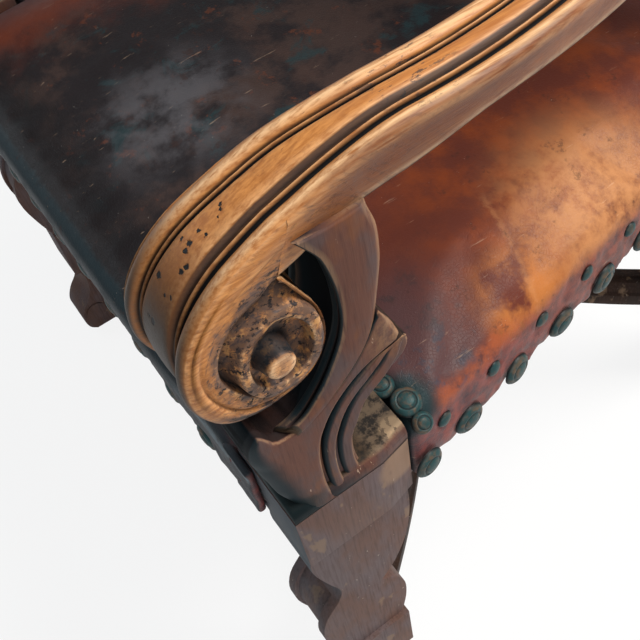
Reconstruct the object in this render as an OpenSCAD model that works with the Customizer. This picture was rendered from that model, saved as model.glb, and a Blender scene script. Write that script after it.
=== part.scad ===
/* [Overall] */
// Width over the front leg blocks
seat_w = 640; // [580:5:700]
// Width over the rear posts
rear_w = 488; // [440:2:540]
// Depth from the front of the leg blocks to the front of the posts
seat_d = 470; // [440:5:520]
// Height of the top of the leg blocks
seat_h = 440; // [420:5:470]
// Overall height to the top of the posts
back_h = 1120; // [1040:10:1220]

/* [Front legs] */
// Width of a leg block
block_w = 60; // [54:1:66]
// Depth of a leg block
block_d = 80; // [74:1:90]
// Height of a leg block
block_h = 60; // [56:1:70]
// Thickness of the scrolled leg across the chair
leg_t = 46; // [40:1:52]
// Height of the foot under the stretcher block
foot_h = 105; // [95:1:115]
// Height of the stretcher block
tie_h = 70; // [60:1:76]

/* [Rear posts] */
// Thickness of a post across the chair
post_w = 44; // [38:1:50]
// Depth of a post at the seat
post_d = 50; // [44:1:56]
// Backward lean of the post above the seat
post_lean = 80; // [50:5:110]
// Backward throw of the rear foot
foot_throw = 36; // [20:2:60]

/* [Rails] */
// Height of a seat rail
rail_h = 48; // [42:1:54]
// Thickness of a seat rail
rail_t = 28; // [24:1:32]
// Drop of the rail tops below the block tops
rail_drop = 12; // [10:1:14]
// Length of a tenon
tenon_l = 26; // [20:1:28]
// Thickness of a tenon
tenon_t = 12; // [8:1:14]
// Gap left round a tenon in its mortise
fit_gap = 0.2; // [0.1:0.05:0.4]
// Diameter of the pegs that lock the tenons
peg_d = 8; // [6:0.5:9]

/* [Arms] */
// Height of the arm's underside above the leg block
support_h = 194; // [180:2:220]
// Thickness of an arm support across the chair
support_t = 46; // [40:1:50]
// Height of the plate under the support
base_h = 13; // [10:1:16]
// Width of an arm over its reeds
arm_w = 46; // [40:1:50]
// Width of an arm where it meets the post
arm_end_w = 30; // [26:1:32]
// Height of an arm's side
arm_t = 26; // [22:1:30]
// Radius of the volute
volute_r = 32.3; // [29:0.1:35]
// Depth of the two grooves on the arm
reed_cut = 3; // [2:0.25:4]

/* [Stretchers] */
// Width of a stretcher
tie_w = 34; // [28:1:40]
// Height of a stretcher's section
tie_t = 26; // [22:1:34]
// Radius in plan of a stretcher's curve
tie_r = 905; // [800:5:1200]
// Diameter of the centre boss
boss_d = 96; // [80:2:120]

/* [Upholstery] */
// Thickness of the nailed leather hem
hem_t = 5.5; // [4:0.25:6]
// Height of the leather band on the rails
band_h = 53; // [50:1:56]
// Crown of the seat above the block tops
crown = 24; // [16:1:34]
// Thickness of the leather on the seat
hide_t = 3.2; // [2.5:0.1:3.6]
// Height of the back panel's lower edge above the block tops
panel_z = 140; // [125:5:160]
// Height of the wooden rails of the back
back_rail_h = 56; // [46:2:64]
// Swell of the back panel
back_swell = 22; // [14:1:30]

/* [Nails] */
// Diameter of a large nail head
nail_d = 24; // [20:0.5:26]
// Diameter of a small nail head
stud_d = 12; // [10:0.5:14]
// Spacing of the large nails
nail_pitch = 47; // [40:1:60]

/* [Hidden] */
$fn = 48;
half_w = seat_w / 2;
half_r = rear_w / 2;
// The front reach of the volute and the rear reach of the post top set the middle
volute_y = 10;
post_top_d = 40;
y_front = volute_y - volute_r;
y_rear = seat_d + post_lean + post_top_d;
y_mid = (y_front + y_rear) / 2;
side_set = 5;
side_slope = (half_w - side_set - half_r - 1.4) / (seat_d - block_d);
side_turn = atan(side_slope);
facet_y = block_d - 20.5;
rail_top = seat_h - rail_drop;
rail_low = rail_top - rail_h;
tie_z = foot_h + tie_h / 2;
arm_in = 2.5;
clear = 0.3;
web_t = 2;
web_w = 48;
gap = 0.4;
peg_l = 30;
volute_z = support_h - 48;

// A smooth curve through the points p, with n steps between each pair
function knot(p, i) = p[max(0, min(len(p) - 1, i))];
function curve_at(a, b, c, d, t) = 0.5 * (2 * b + (c - a) * t + (2 * a - 5 * b + 4 * c - d) * t * t
    + (3 * b - a - 3 * c + d) * t * t * t);
function curve(p, n = 4) = [for (i = [0:len(p) - 2], k = [0:n - 1])
    curve_at(knot(p, i - 1), p[i], p[i + 1], knot(p, i + 2), k / n)];
function smooth(p, n = 4) = concat(curve(p, n), [p[len(p) - 1]]);
function turned(p) = [for (i = [len(p) - 1:-1:0]) p[i]];
function ease(t) = t <= 0 ? 0 : t >= 1 ? 1 : t * t * (3 - 2 * t);
// Outer surface of the leather band beside the side rail
function side_x(y) = half_w - side_set - (y - block_d) * side_slope;

// Turns a profile drawn in depth and height into a slab from x0 to x1
module slab(x0, x1) translate([x0, 0, 0]) rotate([90, 0, 90]) linear_extrude(x1 - x0) children();
module place() translate([0, -y_mid, 0]) children();
// Local frame whose origin is the outer front top corner of the right leg block
module corner() translate([half_w, -y_mid, seat_h]) children();
module other_side() mirror([1, 0, 0]) children();

// Plan of the leg block, in the local frame
block_plan = [[0, 0], [0, facet_y], [side_x(block_d) - half_w, block_d], [-block_w, block_d], [-block_w, 0]];

// Scrolled leg under the block: two opposed scrolls that meet at a break
leg_drop = seat_h - block_h - foot_h - tie_h;
function leg_pt(p) = [p[0] * block_d / 80, -block_h - p[1] * leg_drop / 205];
leg_back = [for (p = [[77, 0], [77, 32], [72, 68], [60, 98], [46, 116]]) leg_pt(p)];
leg_heel = [for (p = [[46, 116], [58, 128], [65, 152], [64, 180], [58, 207]]) leg_pt(p)];
leg_front = [for (p = [[3, 0], [1, 26], [8, 58], [15, 84], [10, 100]]) leg_pt(p)];
leg_toe = [for (p = [[10, 100], [-3, 118], [-8, 145], [-2, 176], [8, 207]]) leg_pt(p)];
leg_profile = concat(smooth(leg_back), smooth(leg_heel), turned(smooth(leg_toe)), turned(smooth(leg_front)));

// Scrolled foot under the stretcher block
function foot_pt(p) = [p[0] * block_d / 80, -seat_h + p[1] * foot_h / 105];
foot_front = [for (p = [[10, 107], [15, 88], [10, 62], [-4, 44], [-12, 26], [-10, 9], [-2, 0]]) foot_pt(p)];
foot_back = [for (p = [[56, 107], [60, 88], [54, 62], [46, 40], [50, 20], [46, 0]]) foot_pt(p)];
foot_profile = concat(smooth(foot_front), turned(smooth(foot_back)));

module tenon_hole(turn, long = tenon_l) rotate(turn)
    translate([-tenon_t / 2 - fit_gap, -long - fit_gap, -rail_h / 2 + 7 - fit_gap])
        cube([tenon_t + 2 * fit_gap, long + 2 * fit_gap + 1, rail_h - 14 + 2 * fit_gap]);

module front_leg() corner() difference() {
    union() {
        translate([0, 0, -block_h]) linear_extrude(block_h) polygon(block_plan);
        slab(-block_w / 2 - leg_t / 2, -block_w / 2 + leg_t / 2) polygon(leg_profile);
        translate([-block_w / 2 - leg_t / 2 - 4, 6, -seat_h + foot_h]) cube([leg_t + 8, 56, tie_h]);
        slab(-block_w / 2 - leg_t / 2, -block_w / 2 + leg_t / 2) polygon(foot_profile);
        for (x = [-block_w / 2 - leg_t / 2 - 2, -block_w / 2 + leg_t / 2 - 2])
            translate([x, 7, -seat_h + 30]) rotate([0, 90, 0]) cylinder(d = 26, h = 4);
    }
    // Hollow channel down the front of the scrolls
    slab(-block_w / 2 - leg_t / 2 + 8, -block_w / 2 + leg_t / 2 - 8)
        polygon(concat(turned(smooth([for (q = leg_toe) q + [3.5, 0]])),
            smooth([for (q = leg_toe) q - [20, 0]])));
    // Mortises of the front rail and the side rail
    translate([-block_w, rail_t / 2 + 2, -rail_drop - rail_h / 2]) tenon_hole(90);
    translate([side_x(block_d) - half_w - hem_t - rail_t / 2 - 1, block_d, -rail_drop - rail_h / 2])
        tenon_hole(side_turn);
    // Dowel hole for the arm support
    translate([-block_w / 2, block_d / 2, -30 - gap]) cylinder(d = 14 + 2 * fit_gap, h = 31 + gap);
    translate([-half_w, 0, -seat_h]) {
        front_pegs(fit_gap);
        tie_pins(front_tie_end, -1, front_reach, fit_gap);
    }
}
module front_leg_right() color("#5a3a26") front_leg();
module front_leg_left() color("#5a3a26") other_side() front_leg();

// Rear post: raked foot, upright at the seat, leaning back above it
post_front = [[seat_d + foot_throw, 0], [seat_d + foot_throw * 0.3, tie_z - 20],
    [seat_d + 4, rail_low - 40], [seat_d, rail_low], [seat_d, rail_top + 16],
    [seat_d + 3, seat_h + 70], [seat_d + post_lean * 0.52, seat_h + (back_h - seat_h) * 0.544],
    [seat_d + post_lean, back_h]];
post_thick = [44, 46, post_d - 1, post_d, post_d, post_d - 2, 44, post_top_d];
post_back = [for (i = [0:len(post_front) - 1]) post_front[i] + [post_thick[i], 0]];
post_profile = concat(smooth(post_front, 5), turned(smooth(post_back, 5)));
// Front face of the leaning post at the height z
function lean_y(z) = seat_d + 3 + (post_lean - 3) * (z - seat_h - 70) / (back_h - seat_h - 70);
lean_turn = -atan((post_lean - 3) / (back_h - seat_h - 70));

module rear_post() place() difference() {
    slab(half_r - post_w, half_r) polygon(post_profile);
    // Mortises of the side rail, the rear rail and the two back rails
    translate([side_x(seat_d) - hem_t - rail_t / 2 - 1, seat_d, rail_top - rail_h / 2])
        tenon_hole(180 + side_turn, side_tenon);
    translate([half_r - post_w, rear_rail_y + rail_t / 2, rail_top - rail_h / 2])
        tenon_hole(90);
    for (z = [back_low_z, back_top_z]) back_tenon(z, fit_gap);
    // Slot for the tenon of the arm
    translate([arm_end_x - 6 - fit_gap, arm_end_y - 10, arm_end_z - 9 - fit_gap])
        cube([12 + 2 * fit_gap, 32 + fit_gap, 18 + 2 * fit_gap]);
    rear_pegs(fit_gap);
    tie_pins(rear_tie_end, 1, rear_reach, fit_gap);
}
module rear_post_right() color("#4d3121") rear_post();
module rear_post_left() color("#4d3121") other_side() rear_post();

// Middle heights of the two back rails
back_low_z = seat_h + panel_z + back_rail_h / 2;
back_top_z = back_h - back_rail_h / 2 - 6;
back_rail_t = 26;
module back_tenon(z, grow) translate([half_r - post_w, lean_y(z) + 0.2, z]) rotate([lean_turn, 0, 0])
    translate([-1, back_rail_t / 2 - tenon_t / 2 - grow, -back_rail_h / 2 + 9 - grow])
        cube([tenon_l - 5 + 1 + grow, tenon_t + 2 * grow, back_rail_h - 18 + 2 * grow]);

module back_rail(z) translate([0, -y_mid, 0]) {
    translate([0, lean_y(z) + 0.2, z]) rotate([lean_turn, 0, 0])
        translate([-half_r + post_w, 0, -back_rail_h / 2])
            cube([2 * (half_r - post_w), back_rail_t, back_rail_h]);
    for (m = [0, 1]) mirror([m, 0, 0]) back_tenon(z, 0);
}
module back_top_rail() color("#4d3121") back_rail(back_top_z);
module back_bottom_rail() color("#4d3121") back_rail(back_low_z);

// Seat rails with a tenon on each end
module rail_tenon(turn, long = tenon_l) rotate(turn) translate([-tenon_t / 2, -long, -rail_h / 2 + 7])
    cube([tenon_t, long + 1, rail_h - 14]);
module front_seat_rail() color("#6b4a30") place() difference() {
    union() {
        translate([-half_w + block_w, 0.2, rail_low]) cube([seat_w - 2 * block_w, rail_t, rail_h]);
        for (m = [0, 1]) mirror([m, 0, 0])
            translate([half_w - block_w, rail_t / 2 + 2, rail_top - rail_h / 2]) rail_tenon(90);
    }
    for (m = [0, 1]) mirror([m, 0, 0]) front_pegs(fit_gap);
}
rear_rail_y = seat_d + post_d - 6 - rail_t;
module rear_seat_rail() color("#6b4a30") place() difference() {
    union() {
        translate([-half_r + post_w, rear_rail_y, rail_low]) cube([rear_w - 2 * post_w, rail_t, rail_h]);
        for (m = [0, 1]) mirror([m, 0, 0])
            translate([half_r - post_w, rear_rail_y + rail_t / 2, rail_top - rail_h / 2]) rail_tenon(90);
    }
    for (m = [0, 1]) mirror([m, 0, 0]) rear_pegs(fit_gap);
}
function rail_x(y) = side_x(y) - hem_t - 0.3;
rail_short = 0.6;
side_tenon = tenon_l - 5;
module side_rail() place() {
    translate([0, 0, rail_low]) linear_extrude(rail_h)
        polygon([[rail_x(block_d), block_d], [rail_x(seat_d), seat_d - rail_short],
            [rail_x(seat_d) - rail_t, seat_d - rail_short], [rail_x(block_d) - rail_t, block_d]]);
    translate([side_x(block_d) - hem_t - rail_t / 2 - 1, block_d, rail_top - rail_h / 2])
        rail_tenon(side_turn);
    translate([side_x(seat_d) - hem_t - rail_t / 2 - 1, seat_d, rail_top - rail_h / 2])
        rail_tenon(180 + side_turn, side_tenon);
}
module side_seat_rail_right() color("#6b4a30") side_rail();
module side_seat_rail_left() color("#6b4a30") other_side() side_rail();

// Triangular blocks glued inside the corners of the seat frame
brace = 52;
module corner_blocks() color("#80603f") place() for (m = [0, 1]) mirror([m, 0, 0]) {
    translate([half_w - block_w - clear, rail_t + 0.2, rail_low + 4]) linear_extrude(rail_h - 12)
        polygon([[0, 0], [-brace, 0], [0, brace - 6]]);
    translate([0, 0, rail_low + 4]) linear_extrude(rail_h - 12)
        polygon([[half_r - post_w - clear, rear_rail_y], [half_r - post_w - brace, rear_rail_y],
            [rail_x(rear_rail_y - brace) - rail_t - 1.2, rear_rail_y - brace],
            [rail_x(seat_d) - rail_t - 1.2, seat_d - 1], [half_r - post_w - clear, seat_d - 1]]);
}

// Moulded section of a stretcher, drawn across its width
tie_section = [[-tie_w / 2, 0], [tie_w / 2, 0], [tie_w / 2, tie_t * 0.55], [tie_w / 2 - 3, tie_t * 0.62],
    [tie_w / 2 - 4, tie_t * 0.78], [tie_w / 2 - 7, tie_t * 0.9], [tie_w / 2 - 8, tie_t], [3, tie_t],
    [2, tie_t - 2], [-2, tie_t - 2], [-3, tie_t], [-tie_w / 2 + 8, tie_t], [-tie_w / 2 + 7, tie_t * 0.9],
    [-tie_w / 2 + 4, tie_t * 0.78], [-tie_w / 2 + 3, tie_t * 0.62], [-tie_w / 2, tie_t * 0.55]];
boss_y = seat_d * 0.64;
// An arc from the boss to the point p, as its centre, first angle and sweep
function tie_far(p) = p - [0, boss_y];
function tie_sweep(p) = 2 * asin(norm(tie_far(p)) / 2 / tie_r);
function tie_turn(p) = atan2(tie_far(p)[1], tie_far(p)[0]);
function tie_mid(p, bow) = [0, boss_y] + tie_far(p) / 2
    - bow * tie_r * cos(tie_sweep(p) / 2) * [cos(tie_turn(p) - 90), sin(tie_turn(p) - 90)];
tie_skip = asin((boss_d / 2 - 3) / tie_r);
module tie_bar(p, bow) translate([tie_mid(p, bow)[0], tie_mid(p, bow)[1], tie_z - tie_t / 2])
    rotate(tie_turn(p) - bow * 90 - tie_sweep(p) / 2 + (bow > 0 ? tie_skip : 0))
        rotate_extrude(angle = tie_sweep(p) - tie_skip, $fn = 180) translate([tie_r, 0]) polygon(tie_section);
// Dowels of a stretcher arm, in the boss and in the leg, reach mm before the point p
pin_d = 10;
pin_l = 40;
module tie_pins(p, bow, reach, grow) translate([tie_mid(p, bow)[0], tie_mid(p, bow)[1], tie_z])
    for (turn = [asin(boss_d / 2 / tie_r), tie_sweep(p) - asin(reach / tie_r)])
        rotate(tie_turn(p) - bow * 90 + bow * (turn - tie_sweep(p) / 2)) translate([tie_r, 0, -2])
            rotate([90, 0, 0]) cylinder(d = pin_d + 2 * grow, h = pin_l + 2 * grow, center = true);
front_tie_end = [half_w - block_w / 2 - 13, 48];
front_reach = 21;
rear_tie_end = [half_r - post_w / 2, seat_d + foot_throw * 0.3 + 20];
rear_reach = 20;
module front_tie() place() difference() {
    tie_bar(front_tie_end, -1);
    translate([half_w - block_w / 2 - leg_t / 2 - 4 - clear, 6 - clear, foot_h])
        cube([leg_t + 20, 56 + 2 * clear, tie_h]);
    translate([0, boss_y, 0]) cylinder(d = boss_d, h = seat_h);
    tie_pins(front_tie_end, -1, front_reach, fit_gap);
}
module rear_tie() place() difference() {
    tie_bar(rear_tie_end, 1);
    slab(half_r - post_w - clear, half_r + 20) translate([-clear, 0]) polygon(post_profile);
    translate([0, boss_y, 0]) cylinder(d = boss_d, h = seat_h);
    tie_pins(rear_tie_end, 1, rear_reach, fit_gap);
}
module stretcher_dowels() color("#c9a878") place() for (m = [0, 1]) mirror([m, 0, 0]) {
    tie_pins(front_tie_end, -1, front_reach, 0);
    tie_pins(rear_tie_end, 1, rear_reach, 0);
}
module stretcher_front_right() color("#4a2e1f") front_tie();
module stretcher_front_left() color("#4a2e1f") other_side() front_tie();
module stretcher_rear_right() color("#4a2e1f") rear_tie();
module stretcher_rear_left() color("#4a2e1f") other_side() rear_tie();
module stretcher_boss() color("#4a2e1f") place() difference() {
    translate([0, boss_y, tie_z - tie_t / 2 - 3])
        rotate_extrude() polygon(concat([[0, 0], [boss_d / 2 - 4, 0], [boss_d / 2, 4], [boss_d / 2, tie_t - 2],
            [boss_d / 2 - 4, tie_t + 3], [boss_d / 2 - 14, tie_t + 5], [18, tie_t + 7], [10, tie_t + 12]],
            [for (a = [-50:20:90]) [13 * cos(a), tie_t + 24 + 13 * sin(a)]]));
    for (m = [0, 1]) mirror([m, 0, 0]) {
        tie_pins(front_tie_end, -1, front_reach, fit_gap);
        tie_pins(rear_tie_end, 1, rear_reach, fit_gap);
    }
}

// Carved outlines of the arm support, as depth and height over the block
function carve(p) = [p[0] * block_d / 80, p[1] * support_h / 194];
function carved(list) = [for (p = list) carve(p)];
upper_back = carved([[73, 194], [76, 180], [75.5, 162], [72, 142], [68, 125], [62, 109], [49, 96], [36, 86], [24, 81], [17, 80]]);
upper_front = carved([[40, 194], [47.5, 181], [50.8, 160], [50, 140], [44, 121], [34, 104], [24, 92], [15, 88]]);
lobe_front = carved([[8, 10], [0, 25], [-4, 45], [-7.5, 70], [-6.5, 90], [-1, 108], [8, 111]]);
lobe_crook = carved([[8, 111], [12, 98], [18, 86], [28, 84], [40, 91], [52, 101], [62, 112], [70, 130]]);
lobe_tip = carved([[70, 130], [77, 116], [83, 97], [82, 87], [70, 80.5], [57, 72.5], [49, 63], [45, 48], [45, 28], [48, 10]]);
lobe_profile = concat(smooth(lobe_front), smooth(lobe_crook), smooth(lobe_tip));
upper_profile = concat(smooth(upper_back), turned(smooth(upper_front)));
groove_line = carved([[78, 97], [66, 95], [55, 90.5], [44, 80.5], [35.5, 71], [29.5, 60], [26, 44], [23.6, 28], [25, 14]]);
module groove_cut() polygon(concat(smooth(groove_line), turned(smooth([for (p = groove_line) p + [3.2, -2.2]]))));

module arm_support() corner() difference() {
    union() {
        // Plate on the leg block
        intersection() {
            linear_extrude(base_h) polygon(block_plan);
            slab(-block_w, 0) polygon([[0, 0], [block_d, 0], [block_d, base_h - 3], [block_d - 3, base_h],
                [3, base_h], [0, base_h - 3]]);
            rotate([90, 0, 0]) translate([0, 0, -block_d]) linear_extrude(block_d)
                polygon([[-block_w, 0], [0, 0], [0, base_h - 7], [-2, base_h - 2], [-7, base_h],
                    [-block_w, base_h]]);
        }
        // Lower scroll, its front corners rounded
        intersection() {
            slab(-support_t + 2, -1.5) polygon(lobe_profile);
            translate([-support_t / 2, block_d / 2, 0]) linear_extrude(support_h)
                polygon(concat([for (a = [0:10:90]) [support_t / 2 - 14 + 14 * cos(a), -38 - 14 * sin(a)]],
                    [for (a = [90:10:180]) [-support_t / 2 + 14 + 14 * cos(a), -38 - 14 * sin(a)]],
                    [[-support_t / 2, block_d], [support_t / 2, block_d]]));
        }
        // Upper scroll, a strap with a hollow down its front
        slab(-5, 0) polygon(upper_profile);
        slab(-support_t, -support_t + 5) polygon(upper_profile);
        slab(-support_t + 4, -4) intersection() {
            polygon(upper_profile);
            translate([6, -3]) polygon(upper_profile);
        }
    }
    slab(-5, 1) groove_cut();
    slab(-support_t - 1, -support_t + 5) groove_cut();
    // Seat of the arm and the two dowel holes
    slab(-block_w, 5) arm_side();
    translate([-block_w / 2, block_d / 2, -1]) cylinder(d = 14 + 2 * fit_gap, h = 32 + gap);
    translate([-support_t / 2 - 1, 61, support_h - 26 - gap]) cylinder(d = 12 + 2 * fit_gap, h = 60);
}
module arm_support_right() color("#8a5638") arm_support();
module arm_support_left() color("#8a5638") other_side() arm_support();

// Side view of the arm's front: a knuckle that rolls over into the volute
knuckle = [[96, 31], [84, 30.5], [70, 28], [56, 24.8], [43, 21], [30, 17], [16, 11], [4, 4.5],
    [-7, -5], [-15, -15.5], [-20, -27], [-19.9, -40]];
under = [[96, 5.5], [87, 5], [76, 4], [66, 2.6], [55, 0], [46, -4], [39.5, -10], [36, -18], [30, -26],
    [24, -34], [20, -40], [16, -44]];
function lift(list) = [for (p = list) [p[0], p[1] + support_h]];
arm_split = knuckle[0][0];
front_n = len(knuckle);
module arm_side() {
    polygon(concat(lift(knuckle), turned(lift(under))));
    translate([volute_y, volute_z]) circle(r = volute_r);
}
// Places across the arm where the grooves run, as shares of half the width
reed_edges = [-1, -0.59, -0.505, -0.42, -0.34, 0.34, 0.42, 0.505, 0.59, 1];
ridge_cut = 0.6;
band_cut = 0.8;
reed_depth = [0, reed_cut, ridge_cut, reed_cut, band_cut, reed_cut, ridge_cut, reed_cut, 0];
function reed_x(k) = -arm_in - arm_w / 2 + reed_edges[k] * arm_w / 2;

// Rear stretch of the arm: plan shift, height and width at each station
arm_end_x = half_r - post_w / 2 + 4;
arm_end_z = seat_h + support_h + 22;
arm_end_y = lean_y(arm_end_z);
rear_n = 11;
function arm_s(i) = i / rear_n;
function arm_y(i) = arm_split + (arm_end_y - arm_split) * arm_s(i);
arm_dip = 9;
function arm_top(i) = support_h + 31 - arm_dip * sin(180 * arm_s(i)) + 4 * arm_s(i);
function arm_deep(i) = 25.5 + (arm_t - 25.5) * sin(180 * arm_s(i)) + 6 * ease(arm_s(i));
// A station is [upper point, lower point, middle across, half width]
arm_front = [for (k = [front_n - 1:-1:0]) [lift(knuckle)[k], lift(under)[k], -arm_in - arm_w / 2, arm_w / 2]];
// The last station lies on the leaning face of the post
function arm_end(z, i) = i < rear_n ? arm_y(i) : lean_y(seat_h + z) - clear;
arm_back = [for (i = [1:rear_n]) let (top = arm_top(i), low = arm_top(i) - arm_deep(i))
    [[arm_end(top, i), top], [arm_end(low, i), low],
    -arm_in - arm_w / 2 + ease(arm_s(i)) * (arm_end_x - half_w + arm_in + arm_w / 2),
    (arm_w + (arm_end_w - arm_w) * ease(arm_s(i))) / 2]];
stations = concat(arm_front, arm_back);
// Half of the arm's section, as a share of its half width and the depth under its top
half_section = [[1, 4], [0.96, 1.2], [0.88, 0], [0.6, 0], [0.58, reed_cut], [0.515, reed_cut],
    [0.5, ridge_cut], [0.43, ridge_cut], [0.415, reed_cut], [0.35, reed_cut], [0.33, band_cut]];
section = concat([for (q = half_section) [-q[0], q[1]]], turned(half_section));
sec_n = len(section);
function low_cut(u) = u > 0.94 ? 4 : u > 0.87 ? 1 : 0;
function arm_point(t, q, low) = let (way = (t[1] - t[0]) / norm(t[1] - t[0]),
    p = low ? t[1] - way * low_cut(abs(q[0])) : t[0] + way * q[1]) [t[2] + q[0] * t[3], p[0], p[1]];
// Two rows of points a station, the reeds above and the plain underside below
module arm_bar() let (n = 2 * sec_n, last = (len(stations) - 1) * n) polyhedron(
    points = [for (t = stations, low = [false, true], q = section) arm_point(t, q, low)],
    faces = [for (f = concat(
        [for (i = [0:len(stations) - 2], k = [0:sec_n - 2]) let (a = i * n + k) [a, a + 1, a + n + 1, a + n]],
        [for (i = [0:len(stations) - 2], k = [0:sec_n - 2]) let (a = i * n + sec_n + k)
            [a + 1, a, a + n, a + n + 1]],
        [for (i = [0:len(stations) - 2]) let (a = i * n) [a, a + n, a + n + sec_n, a + sec_n]],
        [for (i = [0:len(stations) - 2]) let (a = i * n + sec_n - 1) [a, a + sec_n, a + n + sec_n, a + n]],
        [for (k = [0:sec_n - 2]) [k, k + sec_n, k + sec_n + 1, k + 1]],
        [for (k = [0:sec_n - 2]) let (a = last + k) [a + 1, a + 1 + sec_n, a + sec_n, a]]))
        each [[f[0], f[2], f[1]], [f[0], f[3], f[2]]]]);

// Raised spiral on each face of the volute, ending in the eye
spiral_turns = 1.6;
spiral_rise = 2.4;
eye_y = volute_y + 7;
eye_z = volute_z + 3;
eye_l = 16;
function spiral(a, w) = let (r = (volute_r - 3) * pow(0.985, a / 5) + w) [r * cos(200 + a), r * sin(200 + a)];
spiral_line = concat([for (a = [0:10:360 * spiral_turns]) spiral(a, 2)],
    [for (a = [360 * spiral_turns:-10:0]) spiral(a, -2)]);
module volute_face() translate([volute_y, volute_z]) polygon(spiral_line);

module arm() corner() difference() {
    union() {
        arm_bar();
        for (k = [0:len(reed_depth) - 1]) slab(reed_x(k), reed_x(k + 1))
            translate([volute_y, volute_z]) circle(r = volute_r - reed_depth[k]);
        slab(-arm_in - 0.2, -arm_in + spiral_rise) volute_face();
        slab(-arm_in - arm_w - spiral_rise, -arm_in - arm_w + 0.2) volute_face();
        // Eye of the volute, a round knob on each face
        for (m = [0, 1]) translate([-arm_in - arm_w / 2, eye_y, eye_z]) mirror([m, 0, 0])
            translate([arm_w / 2 - 6, 0, 0]) rotate([0, 90, 0]) cylinder(r1 = 11, r2 = 7.5, h = eye_l, $fn = 32);
        // Tenon into the post
        translate([arm_end_x - half_w - 6, arm_end_y - 2, arm_end_z - seat_h - 9]) cube([12, 24, 18]);
    }
    translate([-support_t / 2 - 1, 61, support_h - 4]) cylinder(d = 12 + 2 * fit_gap, h = 4 + 20 + gap);
}
module arm_right() color("#b07a45") arm();
module arm_left() color("#b07a45") other_side() arm();

// Hidden dowels: leg block to support, and support to arm
module support_dowels() color("#c9a878") for (m = [0, 1]) mirror([m, 0, 0]) corner()
    translate([-block_w / 2, block_d / 2, -30]) cylinder(d = 14, h = 60);
module arm_dowels() color("#c9a878") for (m = [0, 1]) mirror([m, 0, 0]) corner()
    translate([-support_t / 2 - 1, 61, support_h - 26]) cylinder(d = 12, h = 44);
// Pegs driven across the tenons of the seat rails, from the front and from the back
module peg(grow) rotate([-90, 0, 0]) cylinder(d = peg_d + 2 * grow, h = peg_l + (grow > 0 ? 2 : 0));
module front_pegs(grow) for (dz = [-9, 9])
    translate([half_w - block_w + 12, grow > 0 ? -1 : 0.5, rail_top - rail_h / 2 + dz]) peg(grow);
module rear_pegs(grow) for (dz = [-9, 9])
    translate([half_r - post_w + 9, seat_d + post_d + (grow > 0 ? 1 : -0.5), rail_top - rail_h / 2 + dz])
        rotate(180) peg(grow);
module rail_pegs() color("#c9a878") for (m = [0, 1]) mirror([m, 0, 0]) place() {
    front_pegs(0);
    rear_pegs(0);
}

// Webbing straps laid over the rails in two crossing layers
strap_pitch = 84;
module seat_webbing() color("#a08a63") place() {
    for (i = [-2:2]) translate([i * strap_pitch - web_w / 2, 6, rail_top])
        cube([web_w, seat_d + post_d - 20, web_t]);
    for (k = [0:3]) let (y = block_d + 40 + k * strap_pitch, reach = side_x(y + web_w / 2) - 10)
        translate([-reach, y - web_w / 2, rail_top + web_t + 0.1]) cube([2 * reach, web_w, web_t]);
}

// Half of the seat's plan: place, inward direction, and 1 where the leather is notched
notch = 1.5;
seat_front = -hem_t - 0.5;
seat_rear = seat_d + post_d;
front_corner = [half_w - block_w - notch, seat_front];
rear_corner = [half_r - post_w - notch, seat_rear];
seat_half = concat(
    [for (i = [0:5]) [front_corner[0] * i / 6, seat_front, 0, 1, 0]],
    [[front_corner[0], seat_front, -1, 1, 0], [front_corner[0], block_d * 0.45, -1, 0, 1],
        [front_corner[0], block_d + notch, -1, 1, 1],
        [front_corner[0] * 0.7 + side_x(block_d) * 0.3, block_d + notch, 0, 1, 1],
        [side_x(block_d + notch), block_d + notch, -1, 1, 0]],
    [for (i = [1:6]) let (y = block_d + notch + (seat_d - block_d - 2 * notch) * i / 7) [side_x(y), y, -1, 0, 0]],
    [[side_x(seat_d - notch), seat_d - notch, -1, -1, 0],
        [rear_corner[0] * 0.78 + side_x(seat_d) * 0.22, seat_d - notch, 0, -1, 1],
        [rear_corner[0], seat_d - notch, -1, -1, 1], [rear_corner[0], seat_d + post_d * 0.3, -1, 0, 1],
        [rear_corner[0], seat_rear, -1, -1, 0]],
    [for (i = [4:-1:0]) [rear_corner[0] * i / 5, seat_rear, 0, -1, 0]]);
half_n = len(seat_half);
seat_loop = concat(seat_half, [for (i = [half_n - 2:-1:1]) let (v = seat_half[i]) [-v[0], v[1], -v[2], v[3], v[4]]]);
loop_n = len(seat_loop);
seat_mid = [0, (seat_front + seat_rear) / 2];
// A row is [inset, height, share of the way to the middle]
crown_rows = [[30, crown * 0.5, 0], [30, crown * 0.76, 0.34], [30, crown * 0.93, 0.68]];
cover_out = concat([[0, -rail_drop, 0], [0, -8, 0], [1.2, -4, 0], [4.5, 1.5, 0], [12, 6.5, 0]], crown_rows);
cover_in = concat([[hem_t, -rail_drop, 0], [hem_t, -9.6, 0], [hem_t + 0.4, -6.6, 0], [8, -2, 0], [14, 3, 0]],
    [for (r = crown_rows) [r[0] + 1, r[1] - hide_t, r[2]]]);
stuff_rows = concat([[7, -6.9, 0], [7.4, -6.1, 0], [10, -3.6, 0], [16.4, 1.2, 0]],
    [for (r = crown_rows) [r[0] + 3, r[1] - hide_t - 1.2, r[2]]]);
function row_point(r, v) = let (d = v[4] == 1 ? min(r[0], 4 + r[0] / 3) : r[0],
    p = [v[0] + v[2] * d, v[1] + v[3] * d], q = p + (seat_mid - p) * r[2]) [q[0], q[1], seat_h + r[1]];
function row_points(rows, loop) = [for (r = rows, v = loop) row_point(r, v)];
function band_faces(n, rows, base, flip) = [for (j = [0:rows - 2], i = [0:n - 1])
    let (a = base + j * n + i, b = base + j * n + (i + 1) % n)
        each flip ? [[a, b, b + n], [a, b + n, a + n]] : [[a, b + n, b], [a, a + n, b + n]]];
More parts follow.
